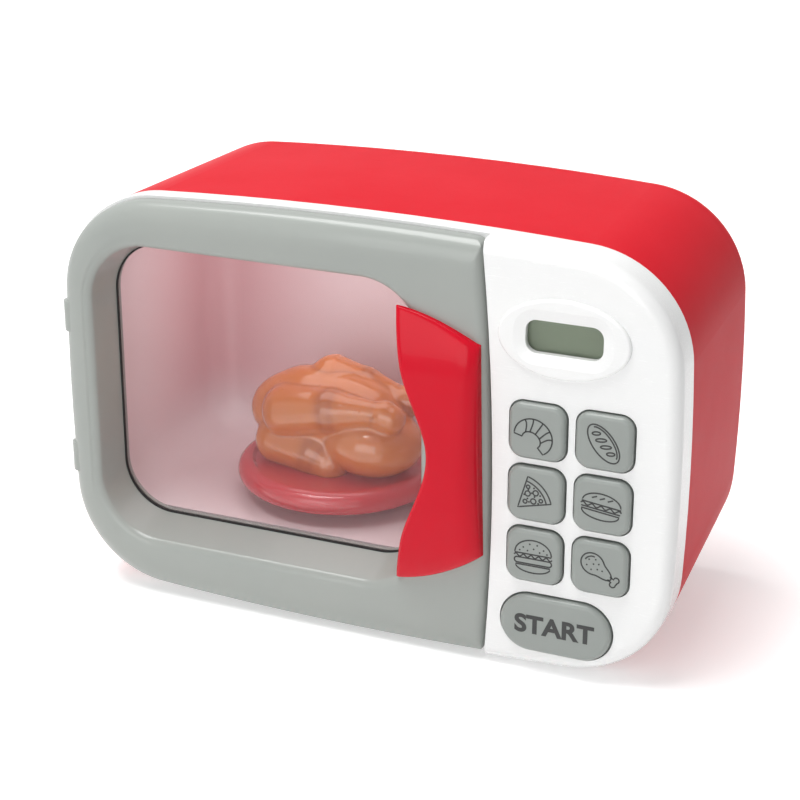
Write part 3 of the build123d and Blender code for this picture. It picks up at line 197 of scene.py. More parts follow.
def newGroup(name, inputs, outputs):
    # Node group of plain numbers: inputs with their first values, and outputs
    group = bpy.data.node_groups.new(name, "ShaderNodeTree")
    for label, value in inputs.items():
        socket = group.interface.new_socket(name=label, in_out="INPUT", socket_type="NodeSocketFloat")
        socket.default_value = value
    for label in outputs:
        group.interface.new_socket(name=label, in_out="OUTPUT", socket_type="NodeSocketFloat")
    return group, group.nodes.new("NodeGroupOutput")


def addNode(tree, kind, settings=None, **inputs):
    # One node with its options and input values; i3 means the input of that number, and an input given
    # as a socket is linked
    node = tree.nodes.new(kind)
    for option, value in (settings or {}).items():
        setattr(node, option, value)
    for label, value in inputs.items():
        numbered = label[0] == "i" and label[1:].isdigit()
        socket = node.inputs[int(label[1:]) if numbered else label]
        if isinstance(value, bpy.types.NodeSocket):
            tree.links.new(value, socket)
        else:
            socket.default_value = value
    return node


def setInputs(node, values):
    # Input values by the inputs' own names, which may hold spaces
    for label, value in values.items():
        node.inputs[label].default_value = value


def worked(tree, operation, *values):
    # Result of a sum, product or the like of values and sockets
    inputs = {"i" + str(place): value for place, value in enumerate(values)}
    return addNode(tree, "ShaderNodeMath", {"operation": operation}, **inputs).outputs["Value"]


def mixed(tree, share, first, second):
    # Colour between two, the second where the share is 1
    return addNode(tree, "ShaderNodeMix", {"data_type": "RGBA"}, i0=share, i6=first, i7=second).outputs[2]


def ranged(tree, value, low, high, start=0.0, end=1.0, kind="LINEAR"):
    # Value taken from the range start to end into the range low to high
    node = addNode(tree, "ShaderNodeMapRange", {"interpolation_type": kind}, Value=value)
    setInputs(node, {"From Min": start, "From Max": end, "To Min": low, "To Max": high})
    return node.outputs["Result"]


def makeMouldGroup():
    # Moulded plastic: fine grain for the bump and a soft mottle for the roughness
    group, outlet = newGroup("mouldedSurface", {"Grain scale": 900.0, "Mottle scale": 24.0},
                             ("Grain", "Mottle"))
    inlet = group.nodes.new("NodeGroupInput")
    place = addNode(group, "ShaderNodeTexCoord").outputs["Object"]
    for label, detail, roughness in (("Grain", 3.0, 0.6), ("Mottle", 4.0, 0.55)):
        noise = addNode(group, "ShaderNodeTexNoise", Vector=place, Scale=inlet.outputs[label + " scale"],
                        Detail=detail, Roughness=roughness)
        group.links.new(noise.outputs["Fac"], outlet.inputs[label])
    return group


hairlineSettings = {"scale": 60.0, "turns": ((0.3, 0.2, 0.5), (1.4, 0.7, 2.1)),
                    "stretch": (1.0, 14.0, 14.0), "middle": 0.5, "nearness": 0.004}


def makeHairlineGroup(settings):
    # Hairline marks from wiping: a few long thin lines where stretched noise crosses its middle value
    group, outlet = newGroup("wipeMarks", {}, ("Mask",))
    place = addNode(group, "ShaderNodeTexCoord").outputs["Object"]
    masks = []
    for turn in settings["turns"]:
        spread = addNode(group, "ShaderNodeMapping", Vector=place, Rotation=turn, Scale=settings["stretch"])
        noise = addNode(group, "ShaderNodeTexNoise", Vector=spread.outputs["Vector"],
                        Scale=settings["scale"], Detail=1.0)
        masks.append(worked(group, "COMPARE", noise.outputs["Fac"], settings["middle"],
                            settings["nearness"]))
    group.links.new(worked(group, "MAXIMUM", *masks), outlet.inputs["Mask"])
    return group


mouldGroup = makeMouldGroup()
hairlineGroup = makeHairlineGroup(hairlineSettings)
print("shared effects built")


def linear(red, green, blue):
    # Linear colour of a display colour given from 0 to 255
    values = np.array([red, green, blue]) / 255
    low = values / 12.92
    return tuple(np.where(values <= 0.04045, low, ((values + 0.055) / 1.055) ** 2.4)) + (1.0,)


def newMaterial(name):
    material = bpy.data.materials.new(name)
    material.use_nodes = True
    return material, material.node_tree, material.node_tree.nodes["Principled BSDF"]


def addSurface(tree, mottle, grain=900.0):
    # The grain and the mottle of a moulding, at the scales given
    surface = addNode(tree, "ShaderNodeGroup", {"node_tree": mouldGroup})
    setInputs(surface, {"Grain scale": grain, "Mottle scale": mottle})
    return surface.outputs["Grain"], surface.outputs["Mottle"]


def addBump(tree, shader, **inputs):
    bump = addNode(tree, "ShaderNodeBump", **inputs)
    tree.links.new(bump.outputs["Normal"], shader.inputs["Normal"])


def plastic(name, colour, shade, rough=0.3, roughSpread=0.08, coat=0.0, coatRough=0.05, grain=900.0,
            grainDepth=0.02, mottle=24.0, marks=0.0, subsurface=0.0, specular=0.5):
    # Moulded plastic between two close colours, with roughness mottle, grain and wipe marks
    material, tree, shader = newMaterial(name)
    grainOut, mottleOut = addSurface(tree, mottle, grain)
    tree.links.new(mixed(tree, mottleOut, linear(*colour), linear(*shade)), shader.inputs["Base Color"])
    roughOut = ranged(tree, mottleOut, rough - roughSpread / 2, rough + roughSpread / 2)
    if marks:
        lines = addNode(tree, "ShaderNodeGroup", {"node_tree": hairlineGroup})
        roughOut = worked(tree, "MULTIPLY_ADD", lines.outputs["Mask"], marks, roughOut)
    tree.links.new(roughOut, shader.inputs["Roughness"])
    addBump(tree, shader, Strength=grainDepth, Distance=0.0004, Height=grainOut)
    setInputs(shader, {"Specular IOR Level": specular, "Coat Weight": coat, "Coat Roughness": coatRough})
    if subsurface:
        setInputs(shader, {"Subsurface Weight": subsurface, "Subsurface Radius": (0.004, 0.002, 0.001),
                           "Subsurface Scale": 1.0})
    return material


def clearPlastic(name, colour, rough=0.03, mottle=40.0):
    # Clear moulding: faint waviness in its gloss, and a faint tint
    material, tree, shader = newMaterial(name)
    mottleOut = addSurface(tree, mottle)[1]
    tree.links.new(ranged(tree, mottleOut, rough * 0.6, rough * 1.4), shader.inputs["Roughness"])
    setInputs(shader, {"Base Color": linear(*colour), "Alpha": 0.07, "IOR": 1.46})
    return material


def metal(name, colour, rough=0.3, grain=400.0, mottle=120.0, shade=0.82):
    # Plated metal: roughness from its grain, and a mottle between the colour and its darker shade
    material, tree, shader = newMaterial(name)
    grainOut, mottleOut = addSurface(tree, mottle, grain)
    dark = linear(*[shade * value for value in colour])
    tree.links.new(mixed(tree, mottleOut, linear(*colour), dark), shader.inputs["Base Color"])
    tree.links.new(ranged(tree, grainOut, rough * 0.7, rough * 1.3), shader.inputs["Roughness"])
    setInputs(shader, {"Metallic": 1.0})
    addBump(tree, shader, Strength=0.05, Distance=0.0002, Height=grainOut)
    return material


# Materials of the visible mouldings

shellRed = plastic("shellRed", (216, 8, 34), (208, 5, 29), rough=0.34, specular=0.02, grain=1200.0,
                   grainDepth=0.015, marks=0.05)
bezelWhite = plastic("bezelWhite", (240, 240, 239), (235, 236, 236), rough=0.24, coat=0.5, coatRough=0.05,
                     grainDepth=0.015, marks=0.04)
doorGrey = plastic("doorGrey", (160, 164, 159), (153, 158, 154), rough=0.3, roughSpread=0.06, coat=0.3,
                   coatRough=0.12, specular=0.3, grain=1500.0, grainDepth=0.03, marks=0.05)
handleRed = plastic("handleRed", (205, 2, 34), (196, 0, 30), rough=0.2, coat=0.12, coatRough=0.03,
                    specular=0.12, grainDepth=0.01, marks=0.04)
plateRed = plastic("plateRed", (198, 42, 50), (188, 34, 44), rough=0.25, coat=0.5, coatRough=0.08,
                   grainDepth=0.02, marks=0.06)
buttonGrey = plastic("buttonGrey", (146, 151, 147), (139, 145, 141), rough=0.38, coat=0.2, coatRough=0.2,
                     grain=1600.0, grainDepth=0.05)
innerGrey = plastic("innerGrey", (150, 154, 150), (142, 146, 143), rough=0.5, grainDepth=0.1)
blackPlastic = plastic("blackPlastic", (34, 34, 35), (26, 26, 27), rough=0.5, grainDepth=0.12)
gasketBlack = plastic("gasketBlack", (22, 21, 21), (14, 14, 14), rough=0.7, grainDepth=0.15)
footRubber = plastic("footRubber", (38, 38, 38), (28, 28, 28), rough=0.85, grainDepth=0.3)
paleRubber = plastic("paleRubber", (196, 196, 190), (186, 186, 180), rough=0.75, grainDepth=0.1)
gearWhite = plastic("gearWhite", (232, 229, 216), (224, 220, 205), rough=0.42, grainDepth=0.06)
boardGreen = plastic("boardGreen", (28, 92, 52), (20, 76, 42), rough=0.35, grain=2500.0, grainDepth=0.1,
                     mottle=200.0)
displayGreen = plastic("displayGreen", (150, 164, 138), (141, 155, 130), rough=0.2, mottle=60.0)
cellJacket = plastic("cellJacket", (30, 30, 33), (38, 38, 42), rough=0.3, coat=0.4, mottle=80.0)
speakerGrey = plastic("speakerGrey", (70, 70, 72), (58, 58, 60), rough=0.6, grainDepth=0.3)
leadJacket = plastic("leadJacket", (150, 24, 24), (130, 18, 20), rough=0.5)
screwSteel = metal("screwSteel", (190, 190, 192), rough=0.28)
clipSteel = metal("clipSteel", (205, 204, 200), rough=0.22)
paneClear = clearPlastic("paneClear", (214, 178, 182))
lensClear = clearPlastic("lensClear", (200, 206, 196))
printBlack = plastic("printBlack", (36, 37, 37), (46, 47, 47), rough=0.45, grainDepth=0.03, mottle=300.0)


def opened(material):
    # A finished material's nodes, its shader and the socket that gives the shader its colour
    shader = material.node_tree.nodes["Principled BSDF"]
    return material.node_tree, shader, shader.inputs["Base Color"].links[0].from_socket


# Painted shade and painted red light on the cavity's white moulding: where it is strongest, and its colour
cavityPaintedShadeSettings = {"corner": (-0.137, 0.064, 0.0), "reach": 0.085, "nearShare": 0.7, "farShare": 0.16,
                  "lowZ": 0.040, "highZ": 0.075, "paintedShadeRose": (212, 150, 156)}


def cavityPlastic(name, settings):
    # White moulding with painted light and shade: a painted rose tint stands in for red light through the
    # shell, stronger high up, and painted shade darkens it most in the left back corner
    material = plastic(name, (234, 222, 224), (228, 214, 217), rough=0.36, grainDepth=0.03)
    tree, shader, white = opened(material)
    place = addNode(tree, "ShaderNodeTexCoord").outputs["Object"]
    parts = addNode(tree, "ShaderNodeSeparateXYZ", Vector=place)
    flat = addNode(tree, "ShaderNodeCombineXYZ", X=parts.outputs["X"], Y=parts.outputs["Y"], Z=0.0)
    corner = addNode(tree, "ShaderNodeVectorMath", {"operation": "DISTANCE"}, i0=flat.outputs["Vector"],
                     i1=settings["corner"])
    near = ranged(tree, corner.outputs["Value"], settings["nearShare"], settings["farShare"],
                  end=settings["reach"], kind="SMOOTHSTEP")
    high = ranged(tree, parts.outputs["Z"], 0.0, 1.0, settings["lowZ"], settings["highZ"], "SMOOTHSTEP")
    paintedShade = mixed(tree, worked(tree, "MULTIPLY", near, high), white, linear(*settings["paintedShadeRose"]))
    tree.links.new(paintedShade, shader.inputs["Base Color"])
    return material


# Colour and strength of the painted shade in the chicken's creases, and its pimples
skinSettings = {"paintedCreaseShade": (120, 52, 18), "paintedShadeShare": 0.4, "pimpleScale": 105.0, "pimpleCore": 0.02,
                "pimpleEdge": 0.1, "pimpleDepth": 0.0006, "pimpleStrength": 0.55}


def chickenPlastic(name, settings):
    # Glossy golden brown: slow patches, painted shade in the creases and sparse pimples
    material = plastic(name, (216, 130, 46), (200, 108, 32), rough=0.2, coat=0.7, coatRough=0.07,
                       grain=700.0, grainDepth=0.05, mottle=30.0, subsurface=0.12)
    tree, shader, brown = opened(material)
    paintedCreaseShade = addNode(tree, "ShaderNodeAttribute", {"attribute_name": "paintedCreaseShade"})
    depth = worked(tree, "MULTIPLY", paintedCreaseShade.outputs["Fac"], settings["paintedShadeShare"])
    shaded = mixed(tree, depth, brown, linear(*settings["paintedCreaseShade"]))
    tree.links.new(shaded, shader.inputs["Base Color"])
    place = addNode(tree, "ShaderNodeTexCoord").outputs["Object"]
    cells = addNode(tree, "ShaderNodeTexVoronoi", Vector=place, Scale=settings["pimpleScale"])
    pimple = ranged(tree, cells.outputs["Distance"], 1.0, 0.0, settings["pimpleCore"],
                    settings["pimpleEdge"], "SMOOTHSTEP")
    addBump(tree, shader, Strength=settings["pimpleStrength"], Distance=settings["pimpleDepth"],
            Height=pimple, Normal=shader.inputs["Normal"].links[0].from_socket)
    return material


cavityWhitePaintedShade = cavityPlastic("cavityWhitePaintedShade", cavityPaintedShadeSettings)
chickenBrown = chickenPlastic("chickenBrown", skinSettings)
print("materials built")


# Door: one moulding whose front rolls back at its edges and turns into the drafted window recess

doorSettings = {"inset": 1.2, "rear": 9.4, "front": 20.0, "rollWidth": 12.5, "rollHeight": 7.2,
                "rollMost": 0.9, "edgeWidth": 5.0, "edgeHeight": 5.0, "rimRound": 3.2, "rimSag": 0.5,
                "lip": 0.2, "wall": 2.3, "wallLean": 1.3, "centreX": -50.0, "backAhead": 12.0,
                "backGrow": 2.0, "cornerRound": 5.0, "cornerNear": 97.0, "straight": 42.0, "topStart": 30.0,
                "sideSteps": 40, "cornerSteps": 32, "curveSteps": 10}
windowSettings = {"left": -132.6, "right": 33.0, "low": 28.2, "high": 175.8, "corner": 30.0,
                  "sideDraft": 3.0, "sillDraft": 7.4, "headDraft": 4.3, "cornerDraft": 5.0}
hingeSettings = {"x": -144.9, "ahead": 13.8, "notchLow": 72.7, "notchHigh": 128.7, "notchDepth": 2.0,
                 "notchReach": 8.2, "notchFront": 17.3, "notchStep": 0.03, "barrel": 4.3, "bore": 1.4,
                 "length": 86.0, "round": ((0.5, 0.0), (0.1, 0.2), (0.0, 0.6)), "steps": 40}
edgeBow = {"middle": 65.6, "slope": -0.01905, "curve": -0.0004535}


def doorEdgeX(z):
    # The door's right edge bows: x is the middle's plus slope times rise plus curve times rise squared
    rise = z - midZ
    return edgeBow["middle"] + edgeBow["slope"] * rise + edgeBow["curve"] * rise ** 2


def windowLoop(ahead, grow=0.0):
    # The window recess at one place ahead of the seam, narrower towards the back by its draft
    s = windowSettings
    share = 1 - ahead / doorSettings["front"]
    left, right = s["left"] + s["sideDraft"] * share - grow, s["right"] - s["sideDraft"] * share + grow
    low, high = s["low"] + s["sillDraft"] * share - grow, s["high"] - s["headDraft"] * share + grow
    return sectionLoop(left, right, low, high, s["corner"] - s["cornerDraft"] * share + grow,
                       doorSettings["cornerSteps"], doorSettings["sideSteps"])


def curvedCorner(before, corner, after, count):
    # Quadratic curve that leaves one edge and joins the next
    share = np.linspace(0, 1, count, endpoint=False)[:, None]
    return before * (1 - share) ** 2 + 2 * corner * share * (1 - share) + after * share ** 2


def doorLoop():
    # The door's outline in the order of the window loop: each stretch matches the window's stretch
    s = doorSettings
    shape = crownedCorner(s["inset"])
    steps, cornerSteps, curveSteps = s["sideSteps"], s["cornerSteps"], s["curveSteps"]
    straight, topStart = s["straight"], s["topStart"]
    partSteps = (cornerSteps - curveSteps) // 2

    def topZ(x):
        return shape["top"][1] + np.sqrt(shape["topRadius"] ** 2 - x ** 2)

    def rightLine(start, end, count):
        z = np.linspace(start, end, count, endpoint=False)
        return np.stack([doorEdgeX(z + midZ), z], 1)

    def levelLine(start, end, count, way):
        # Along the top where way is 1, along the sill where it is -1
        x = np.linspace(start, end, count, endpoint=False)
        return np.stack([x, way * topZ(x)], 1)

    def cornerMarks(way):
        # A right corner, after its start on the right edge and before its start on the top or sill
        z = way * topZ(doorEdgeX(midZ + way * s["cornerNear"]))
        x = doorEdgeX(midZ + z)
        edgeZ, topX = z - way * s["cornerRound"], x - s["cornerRound"]
        marks = ((doorEdgeX(midZ + edgeZ), edgeZ), (x, z), (topX, way * topZ(topX)))
        return [np.array(mark) for mark in marks]

    cornerX, cornerZ = shape["centre"]
    turnX = shape["topRadius"] * math.cos(shape["high"])
    leftZ = leftSteps(shape["sideRadius"] * math.sin(shape["low"]), steps)
    leftX = -(shape["side"][0] + np.sqrt(shape["sideRadius"] ** 2 - leftZ ** 2))
    high, low = cornerMarks(1), cornerMarks(-1)
    loop = np.concatenate([
        rightLine(-straight, straight, steps),
        rightLine(straight, high[0][1], partSteps),
        curvedCorner(*high, curveSteps),
        levelLine(high[2][0], topStart, partSteps, 1),
        levelLine(topStart, -turnX, steps, 1),
        arcPoints((-cornerX, cornerZ), shape["corner"], math.pi - shape["high"], math.pi - shape["low"],
                  cornerSteps),
        np.stack([leftX, leftZ], 1),
        arcPoints((-cornerX, -cornerZ), shape["corner"], math.pi + shape["low"], math.pi + shape["high"],
                  cornerSteps),
        levelLine(-turnX, topStart, steps, -1),
        levelLine(topStart, low[2][0], partSteps, -1),
        curvedCorner(*low[::-1], curveSteps),
        rightLine(low[0][1], -straight, partSteps),
    ])
    return loop + [0, midZ], shape


def leftSteps(reach, count):
    # Heights down the left side, with two close steps at each end of the hinge notch
    h = hingeSettings
    marks = [side + step for side in (h["notchLow"] - midZ, h["notchHigh"] - midZ)
             for step in (-h["notchStep"], h["notchStep"])]
    steps = np.concatenate([np.linspace(reach, -reach, count - len(marks), endpoint=False), marks])
    return np.sort(steps)[::-1]


def flatRow(loop, ahead):
    return loop[:, 0], np.full(len(loop), ahead), loop[:, 1]


def makeDoorSkin():
    # Rows run from the door's rear edge round its side, over the front, down the recess and back
    # behind it to close the wall; a row's height comes from its depth inside the door's outline
    s, h = doorSettings, hingeSettings
    outer, shape = doorLoop()
    x, z = outer[:, 0], outer[:, 1]
    inNotch = (x < 0) & (z > h["notchLow"]) & (z < h["notchHigh"])
    edge = outer.copy()
    edge[inNotch, 0] += h["notchDepth"]
    across = windowLoop(s["front"], s["rimRound"]) - edge
    width = np.linalg.norm(across, axis=1)

    def frontRow(share, sag=0.0):
        px, pz = edge[:, 0] + across[:, 0] * share, edge[:, 1] + across[:, 1] * share
        roll = quarterRoll(crownedDepth(px, pz - midZ, shape), s["rollWidth"], s["rollHeight"])
        sideRoll = quarterRoll(doorEdgeX(pz) - px, s["edgeWidth"], s["edgeHeight"])
        return px, s["front"] - np.maximum(roll, sideRoll) - sag, pz

    rows = []
    cut = np.clip(h["x"] - x, 0, None)
    for turn in np.linspace(0, 90, 7):
        angle = math.radians(turn)
        ahead = s["rear"] + (s["lip"] + cut) * (1 - math.cos(angle))
        notchAhead = s["rear"] + (h["notchFront"] - s["rear"]) * turn / 90
        side = np.where(inNotch, x + h["notchReach"], x + cut * (1 - math.sin(angle)))
        rows.append((side, np.where(inNotch, notchAhead, ahead), z))
    for turn in np.linspace(4, 90, 16):
        share = s["rollWidth"] * (1 - math.cos(math.radians(turn))) / width
        rows.append(frontRow(np.minimum(share, s["rollMost"])))
    lastShare = np.minimum(s["rollWidth"] / width, s["rollMost"])
    for part in np.linspace(0, 1, 8)[1:]:
        rows.append(frontRow(lastShare + (1 - lastShare) * part, s["rimSag"] * part ** 2))
    rimFront = s["front"] - s["rimSag"]
    for turn in np.linspace(0, 90, 9)[1:]:
        grow = s["rimRound"] * (1 - math.sin(math.radians(turn)))
        ahead = rimFront - s["rimRound"] * (1 - math.cos(math.radians(turn)))
        rows.append(flatRow(windowLoop(ahead, grow), ahead))
    for ahead in np.linspace(rimFront - s["rimRound"], 0, 7)[1:]:
        rows.append(flatRow(windowLoop(ahead), ahead))
    for ahead in (0.0, s["backAhead"]):
        rows.append(flatRow(windowLoop(ahead, s["backGrow"]), ahead))
    inward = np.array([s["centreX"], midZ]) - outer
    inner = outer + inward * (s["wall"] / np.linalg.norm(inward, axis=1))[:, None] * s["wallLean"]
    inner[:, 0] += np.where(inNotch, h["notchReach"] + s["wall"], 0) + cut
    rows += [flatRow(inner, ahead) for ahead in (s["backAhead"], s["rear"])]
    points = np.stack([placed(*row) for row in rows])
    faces = gridFaces(len(rows), len(x), closeRows=True)
    skin = addMesh("doorSkin", points, [faces], doorGrey, sharpAngle=50)
    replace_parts(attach(skin, "door"), "door_frame")


def makeHingeBarrels():
    # The two barrels on the door's rear left edge: circles carried along the hinge axis, ends rounded
    h = hingeSettings
    barrel, bore, ends = h["barrel"], h["bore"], h["round"]
    angle = np.linspace(0, 2 * math.pi, h["steps"], endpoint=False)
    for name, low, high in (("lowerHingeBarrel", midZ - h["length"] / 2, h["notchLow"]),
                            ("upperHingeBarrel", h["notchHigh"], midZ + h["length"] / 2)):
        stops = ([(bore, low)] + [(barrel - less, low + up) for less, up in ends]
                 + [(barrel - less, high - up) for less, up in reversed(ends)] + [(bore, high)])
        points = np.stack([placed(h["x"] + radius * np.cos(angle), h["ahead"] + radius * np.sin(angle),
                                  np.full(len(angle), z)) for radius, z in stops])
        piece = addMesh(name, points, [gridFaces(len(stops), len(angle), closeRows=True)], doorGrey,
                        sharpAngle=40)
        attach(piece, "door")


makeDoorSkin()
makeHingeBarrels()
print("door skin and barrels made")


# Handle: arched shell with a waist, rolled to the right and at its ends

handleSettings = {"left": (22.0, 26.0, 39.9, 26.0, 22.0), "leftZ": (36.0, 56.0, 102.4, 140.5, 165.6),
                  "rightLow": (63.5, 54.0), "rightHigh": (61.0, 152.6), "lowBow": -2.0, "highBow": 1.5,
                  "lowEase": 1.2, "highEase": 1.15, "crown": 31.0, "endReach": 21.6, "base": 20.0,
                  "sink": 0.6, "rise": 0.3, "wall": 3.0, "rightRoll": 9.0, "endRoll": 10.0, "leftRoll": 2.2,
                  "rightFall": 0.62, "lowFall": 0.55, "highFall": 0.4, "leftFall": 1.4, "upSteps": 90,
                  "acrossSteps": 48}


def smoothLine(stops, values, at):
    # Cubic through the given stops (Catmull and Rom's slopes), read at the places asked
    stops, values = np.asarray(stops, float), np.asarray(values, float)
    slopes = np.gradient(values, stops)
    index = np.clip(np.searchsorted(stops, at) - 1, 0, len(stops) - 2)
    gap = stops[index + 1] - stops[index]
    t = (at - stops[index]) / gap
    return (values[index] * (2 * t ** 3 - 3 * t ** 2 + 1) + values[index + 1] * (3 * t ** 2 - 2 * t ** 3)
            + gap * (slopes[index] * (t ** 3 - 2 * t ** 2 + t) + slopes[index + 1] * (t ** 3 - t ** 2)))


def easedSteps(count):
    # Shares from 0 to 1, closer to each other towards both ends
    return (1 - np.cos(np.linspace(0, math.pi, count))) / 2


def makeHandleSkin():
    # A patch between four edges; its height is the arch less a roll at each edge
    s = handleSettings
    u, v = easedSteps(s["upSteps"]), easedSteps(s["acrossSteps"])
    up, across = np.meshgrid(u, v, indexing="ij")

    def patch(left, right, low, high):
        # Left and right edges blended across, plus low and high edges blended up, less the four corners
        return ((1 - across) * left[:, None] + across * right[:, None] + (1 - up) * low + up * high
                - ((1 - across) * ((1 - up) * left[0] + up * left[-1])
                   + across * ((1 - up) * right[0] + up * right[-1])))

    (rightLowX, rightLowZ), (rightHighX, rightHighZ) = s["rightLow"], s["rightHigh"]
    leftLowZ, leftHighZ = s["leftZ"][0], s["leftZ"][-1]
    leftZ = leftLowZ + (leftHighZ - leftLowZ) * u
    leftX = smoothLine(s["leftZ"], s["left"], leftZ)
    rightZ = rightLowZ + (rightHighZ - rightLowZ) * u
    rightX = rightLowX + (rightHighX - rightLowX) * u
    bow = np.sin(math.pi * v)
    lowX = leftX[0] + (rightX[0] - leftX[0]) * v
    lowZ = leftZ[0] + (rightZ[0] - leftZ[0]) * v ** s["lowEase"] + s["lowBow"] * bow
    highX = leftX[-1] + (rightX[-1] - leftX[-1]) * v
    highZ = leftZ[-1] + (rightZ[-1] - leftZ[-1]) * v ** s["highEase"] + s["highBow"] * bow
    x, z = patch(leftX, rightX, lowX, highX), patch(leftZ, rightZ, lowZ, highZ)
    half = (leftHighZ - leftLowZ) / 2 + s["wall"]
    arch = s["crown"] - (s["crown"] - s["endReach"]) * ((z - (leftLowZ + leftHighZ) / 2) / half) ** 2
    wallHeight = arch - s["base"]
    drop = (quarterRoll(rightX[:, None] - x, s["rightRoll"], s["rightFall"] * wallHeight)
            + quarterRoll(z - np.interp(x, lowX, lowZ), s["endRoll"], s["lowFall"] * wallHeight)
            + quarterRoll(np.interp(x, highX, highZ) - z, s["endRoll"], s["highFall"] * wallHeight)
            + quarterRoll(x - leftX[:, None], s["leftRoll"], s["leftFall"]))
    front = np.maximum(arch - drop, s["base"] + s["rise"])
    inside = np.maximum(front - s["wall"], s["base"] - s["sink"])
    edge = (up == 0) | (up == 1) | (across == 1)
    inside = np.where(edge, s["base"] - s["sink"], inside)
    points = np.stack([placed(x, front, z), placed(x, inside, z)])
    rows, columns = x.shape
    faces = gridFaces(rows, columns, closeColumns=False)
    index = np.arange(rows * columns).reshape(rows, columns)
    around = np.concatenate([index[0, :-1], index[:-1, -1], index[-1, :0:-1], index[:0:-1, 0]])
    following = np.roll(around, -1)
    wall = np.stack([around, following, following + rows * columns, around + rows * columns], 1)
    skin = addMesh("handleSkin", points, [faces, faces[:, ::-1] + rows * columns, wall], handleRed,
                   sharpAngle=55)
    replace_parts(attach(skin, "door"), "door_handle")


makeHandleSkin()
print("handle made")


# Printing on the buttons: line pictures and one word, each a thin raised print on the cap's face

printSettings = {"ahead": 21.82, "thickness": 0.08, "line": 0.64, "columns": (87.6, 117.6),
                 "rows": (117.4, 88.0, 58.6), "start": (98.2, 25.6), "wordWidth": 37.0, "wordHeight": 9.2,
                 "wordBold": 0.035, "wordDepth": 0.004, "wordCurves": 6, "merge": 1e-6}


def turned(points, degrees, shift=(0, 0)):
    angle = math.radians(degrees)
    turn = np.array([[math.cos(angle), math.sin(angle)], [-math.sin(angle), math.cos(angle)]])
    return np.asarray(points, float) @ turn + np.array(shift)


def ovalLine(width, height, start=0, end=360, count=40, shift=(0, 0)):
    # Part of an ellipse; a whole one leaves out its doubled last point
    angle = np.radians(np.linspace(start, end, count, endpoint=abs(end - start) < 360))
    return np.stack([width * np.cos(angle), height * np.sin(angle)], 1) + np.array(shift)


def waveLine(left, right, low, height, waves, count=60):
    x = np.linspace(left, right, count)
    return np.stack([x, low + height * np.sin((x - left) / (right - left) * waves * 2 * math.pi)], 1)


def ribbon(line, width, closed):
    # Flat band of one width along a line, with a square section; ends closed unless it runs round
    after, before = (np.roll(line, -1, 0), np.roll(line, 1, 0)) if closed else (
        np.concatenate([line[1:], line[-1:]]), np.concatenate([line[:1], line[:-1]]))
    along = after - before
    along /= np.linalg.norm(along, axis=1)[:, None]
    side = np.stack([-along[:, 1], along[:, 0]], 1) * width / 2
    low, high = np.zeros(len(line)), np.full(len(line), printSettings["thickness"])
    corners = [(line + side, low), (line - side, low), (line - side, high), (line + side, high)]
    points = np.stack([np.concatenate([place, ahead[:, None]], 1) for place, ahead in corners], 1)
    faces = gridFaces(len(line), 4, closeRows=closed)
    if not closed:
        last = 4 * (len(line) - 1)
        faces = np.concatenate([faces, [[3, 2, 1, 0], [last, last + 1, last + 2, last + 3]]])
    return points.reshape(-1, 3), faces


def dots(places, radius):
    # Each dot is a small ring whose line nearly fills it
    return [(ovalLine(radius / 2, radius / 2, count=10, shift=place), True, 0.94 * radius)
            for place in places]


def addPrint(name, lines, centre, body):
    # One mesh from all the lines of a picture; a line is (points, closed) or (points, closed, width)
    points, faces, count = [], [], 0
    for line in lines:
        width = line[2] if len(line) > 2 else printSettings["line"]
        linePoints, lineFaces = ribbon(np.asarray(line[0], float), width, line[1])
        points.append(linePoints)
        faces.append(lineFaces + count)
        count += len(linePoints)
    points = np.concatenate(points)
    places = placed(points[:, 0] + centre[0], points[:, 2] + printSettings["ahead"],
                    points[:, 1] + centre[1])
    picture = addMesh(name, places, faces, printBlack, sharpAngle=30)
    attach(picture, body)


def croissantLines():
    outer = ovalLine(8.8, 8.2, 208, -28, 44, (0, -2.6))
    inner = ovalLine(4.4, 3.4, -20, 200, 30, (0, -4.2))
    lines = [(turned(np.concatenate([outer, inner]), -32), True)]
    for angle in (25, 55, 90, 125, 155):
        start = ovalLine(4.4, 3.4, angle, angle, 1, (0, -4.2))[0]
        end = ovalLine(8.8, 8.2, angle + (90 - angle) * 0.12, angle, 1, (0, -2.6))[0]
        share = np.linspace(0, 1, 9)[:, None]
        bend = np.array([0.0, 1.1]) * np.sin(math.pi * share)
        lines.append((turned(start * (1 - share) + end * share + bend, -32), False))
    return lines


def loafLines():
    lines = [(turned(ovalLine(9.8, 5.0, count=52), -52), True),
             (turned(ovalLine(8.6, 3.9, 12, 168, 30), -52), False)]
    for shift in (-5.4, -1.8, 1.8, 5.4):
        reach = 2.7 - 0.16 * abs(shift)
        leaf = turned(ovalLine(reach, 0.75, count=22), 58, (shift, 0))
        lines.append((turned(leaf, -52), True))
    return lines


def pizzaLines():
    tip = np.array([-7.6, -6.4])

    def spot(radius, angle):
        return ovalLine(radius, radius, angle, angle, 1)[0]

    crust = ovalLine(15.6, 15.6, 14, 74, 26)
    edge = np.linspace(0, 1, 14)[1:, None]
    outline = np.concatenate([crust, crust[-1] * (1 - edge)[:-1], [[0, 0]], crust[0] * edge[:-1]])
    lines = [(outline + tip, True), (ovalLine(13.4, 13.4, 15, 73, 26) + tip, False)]
    toppings = ((4.6, 44, 0.9), (8.0, 28, 1.2), (8.3, 58, 1.2), (11.2, 44, 1.2), (11.4, 23, 0.8),
                (11.2, 66, 0.8))
    for radius, angle, size in toppings:
        lines.append((ovalLine(size, size, count=18) + tip + spot(radius, angle), True))
    crumbs = ((6.4, 47), (6.0, 32), (9.6, 38), (9.8, 50), (10.0, 62), (9.8, 18), (12.2, 34), (12.3, 54),
              (7.0, 66))
    return lines + dots([tip + spot(*crumb) for crumb in crumbs], 0.45)


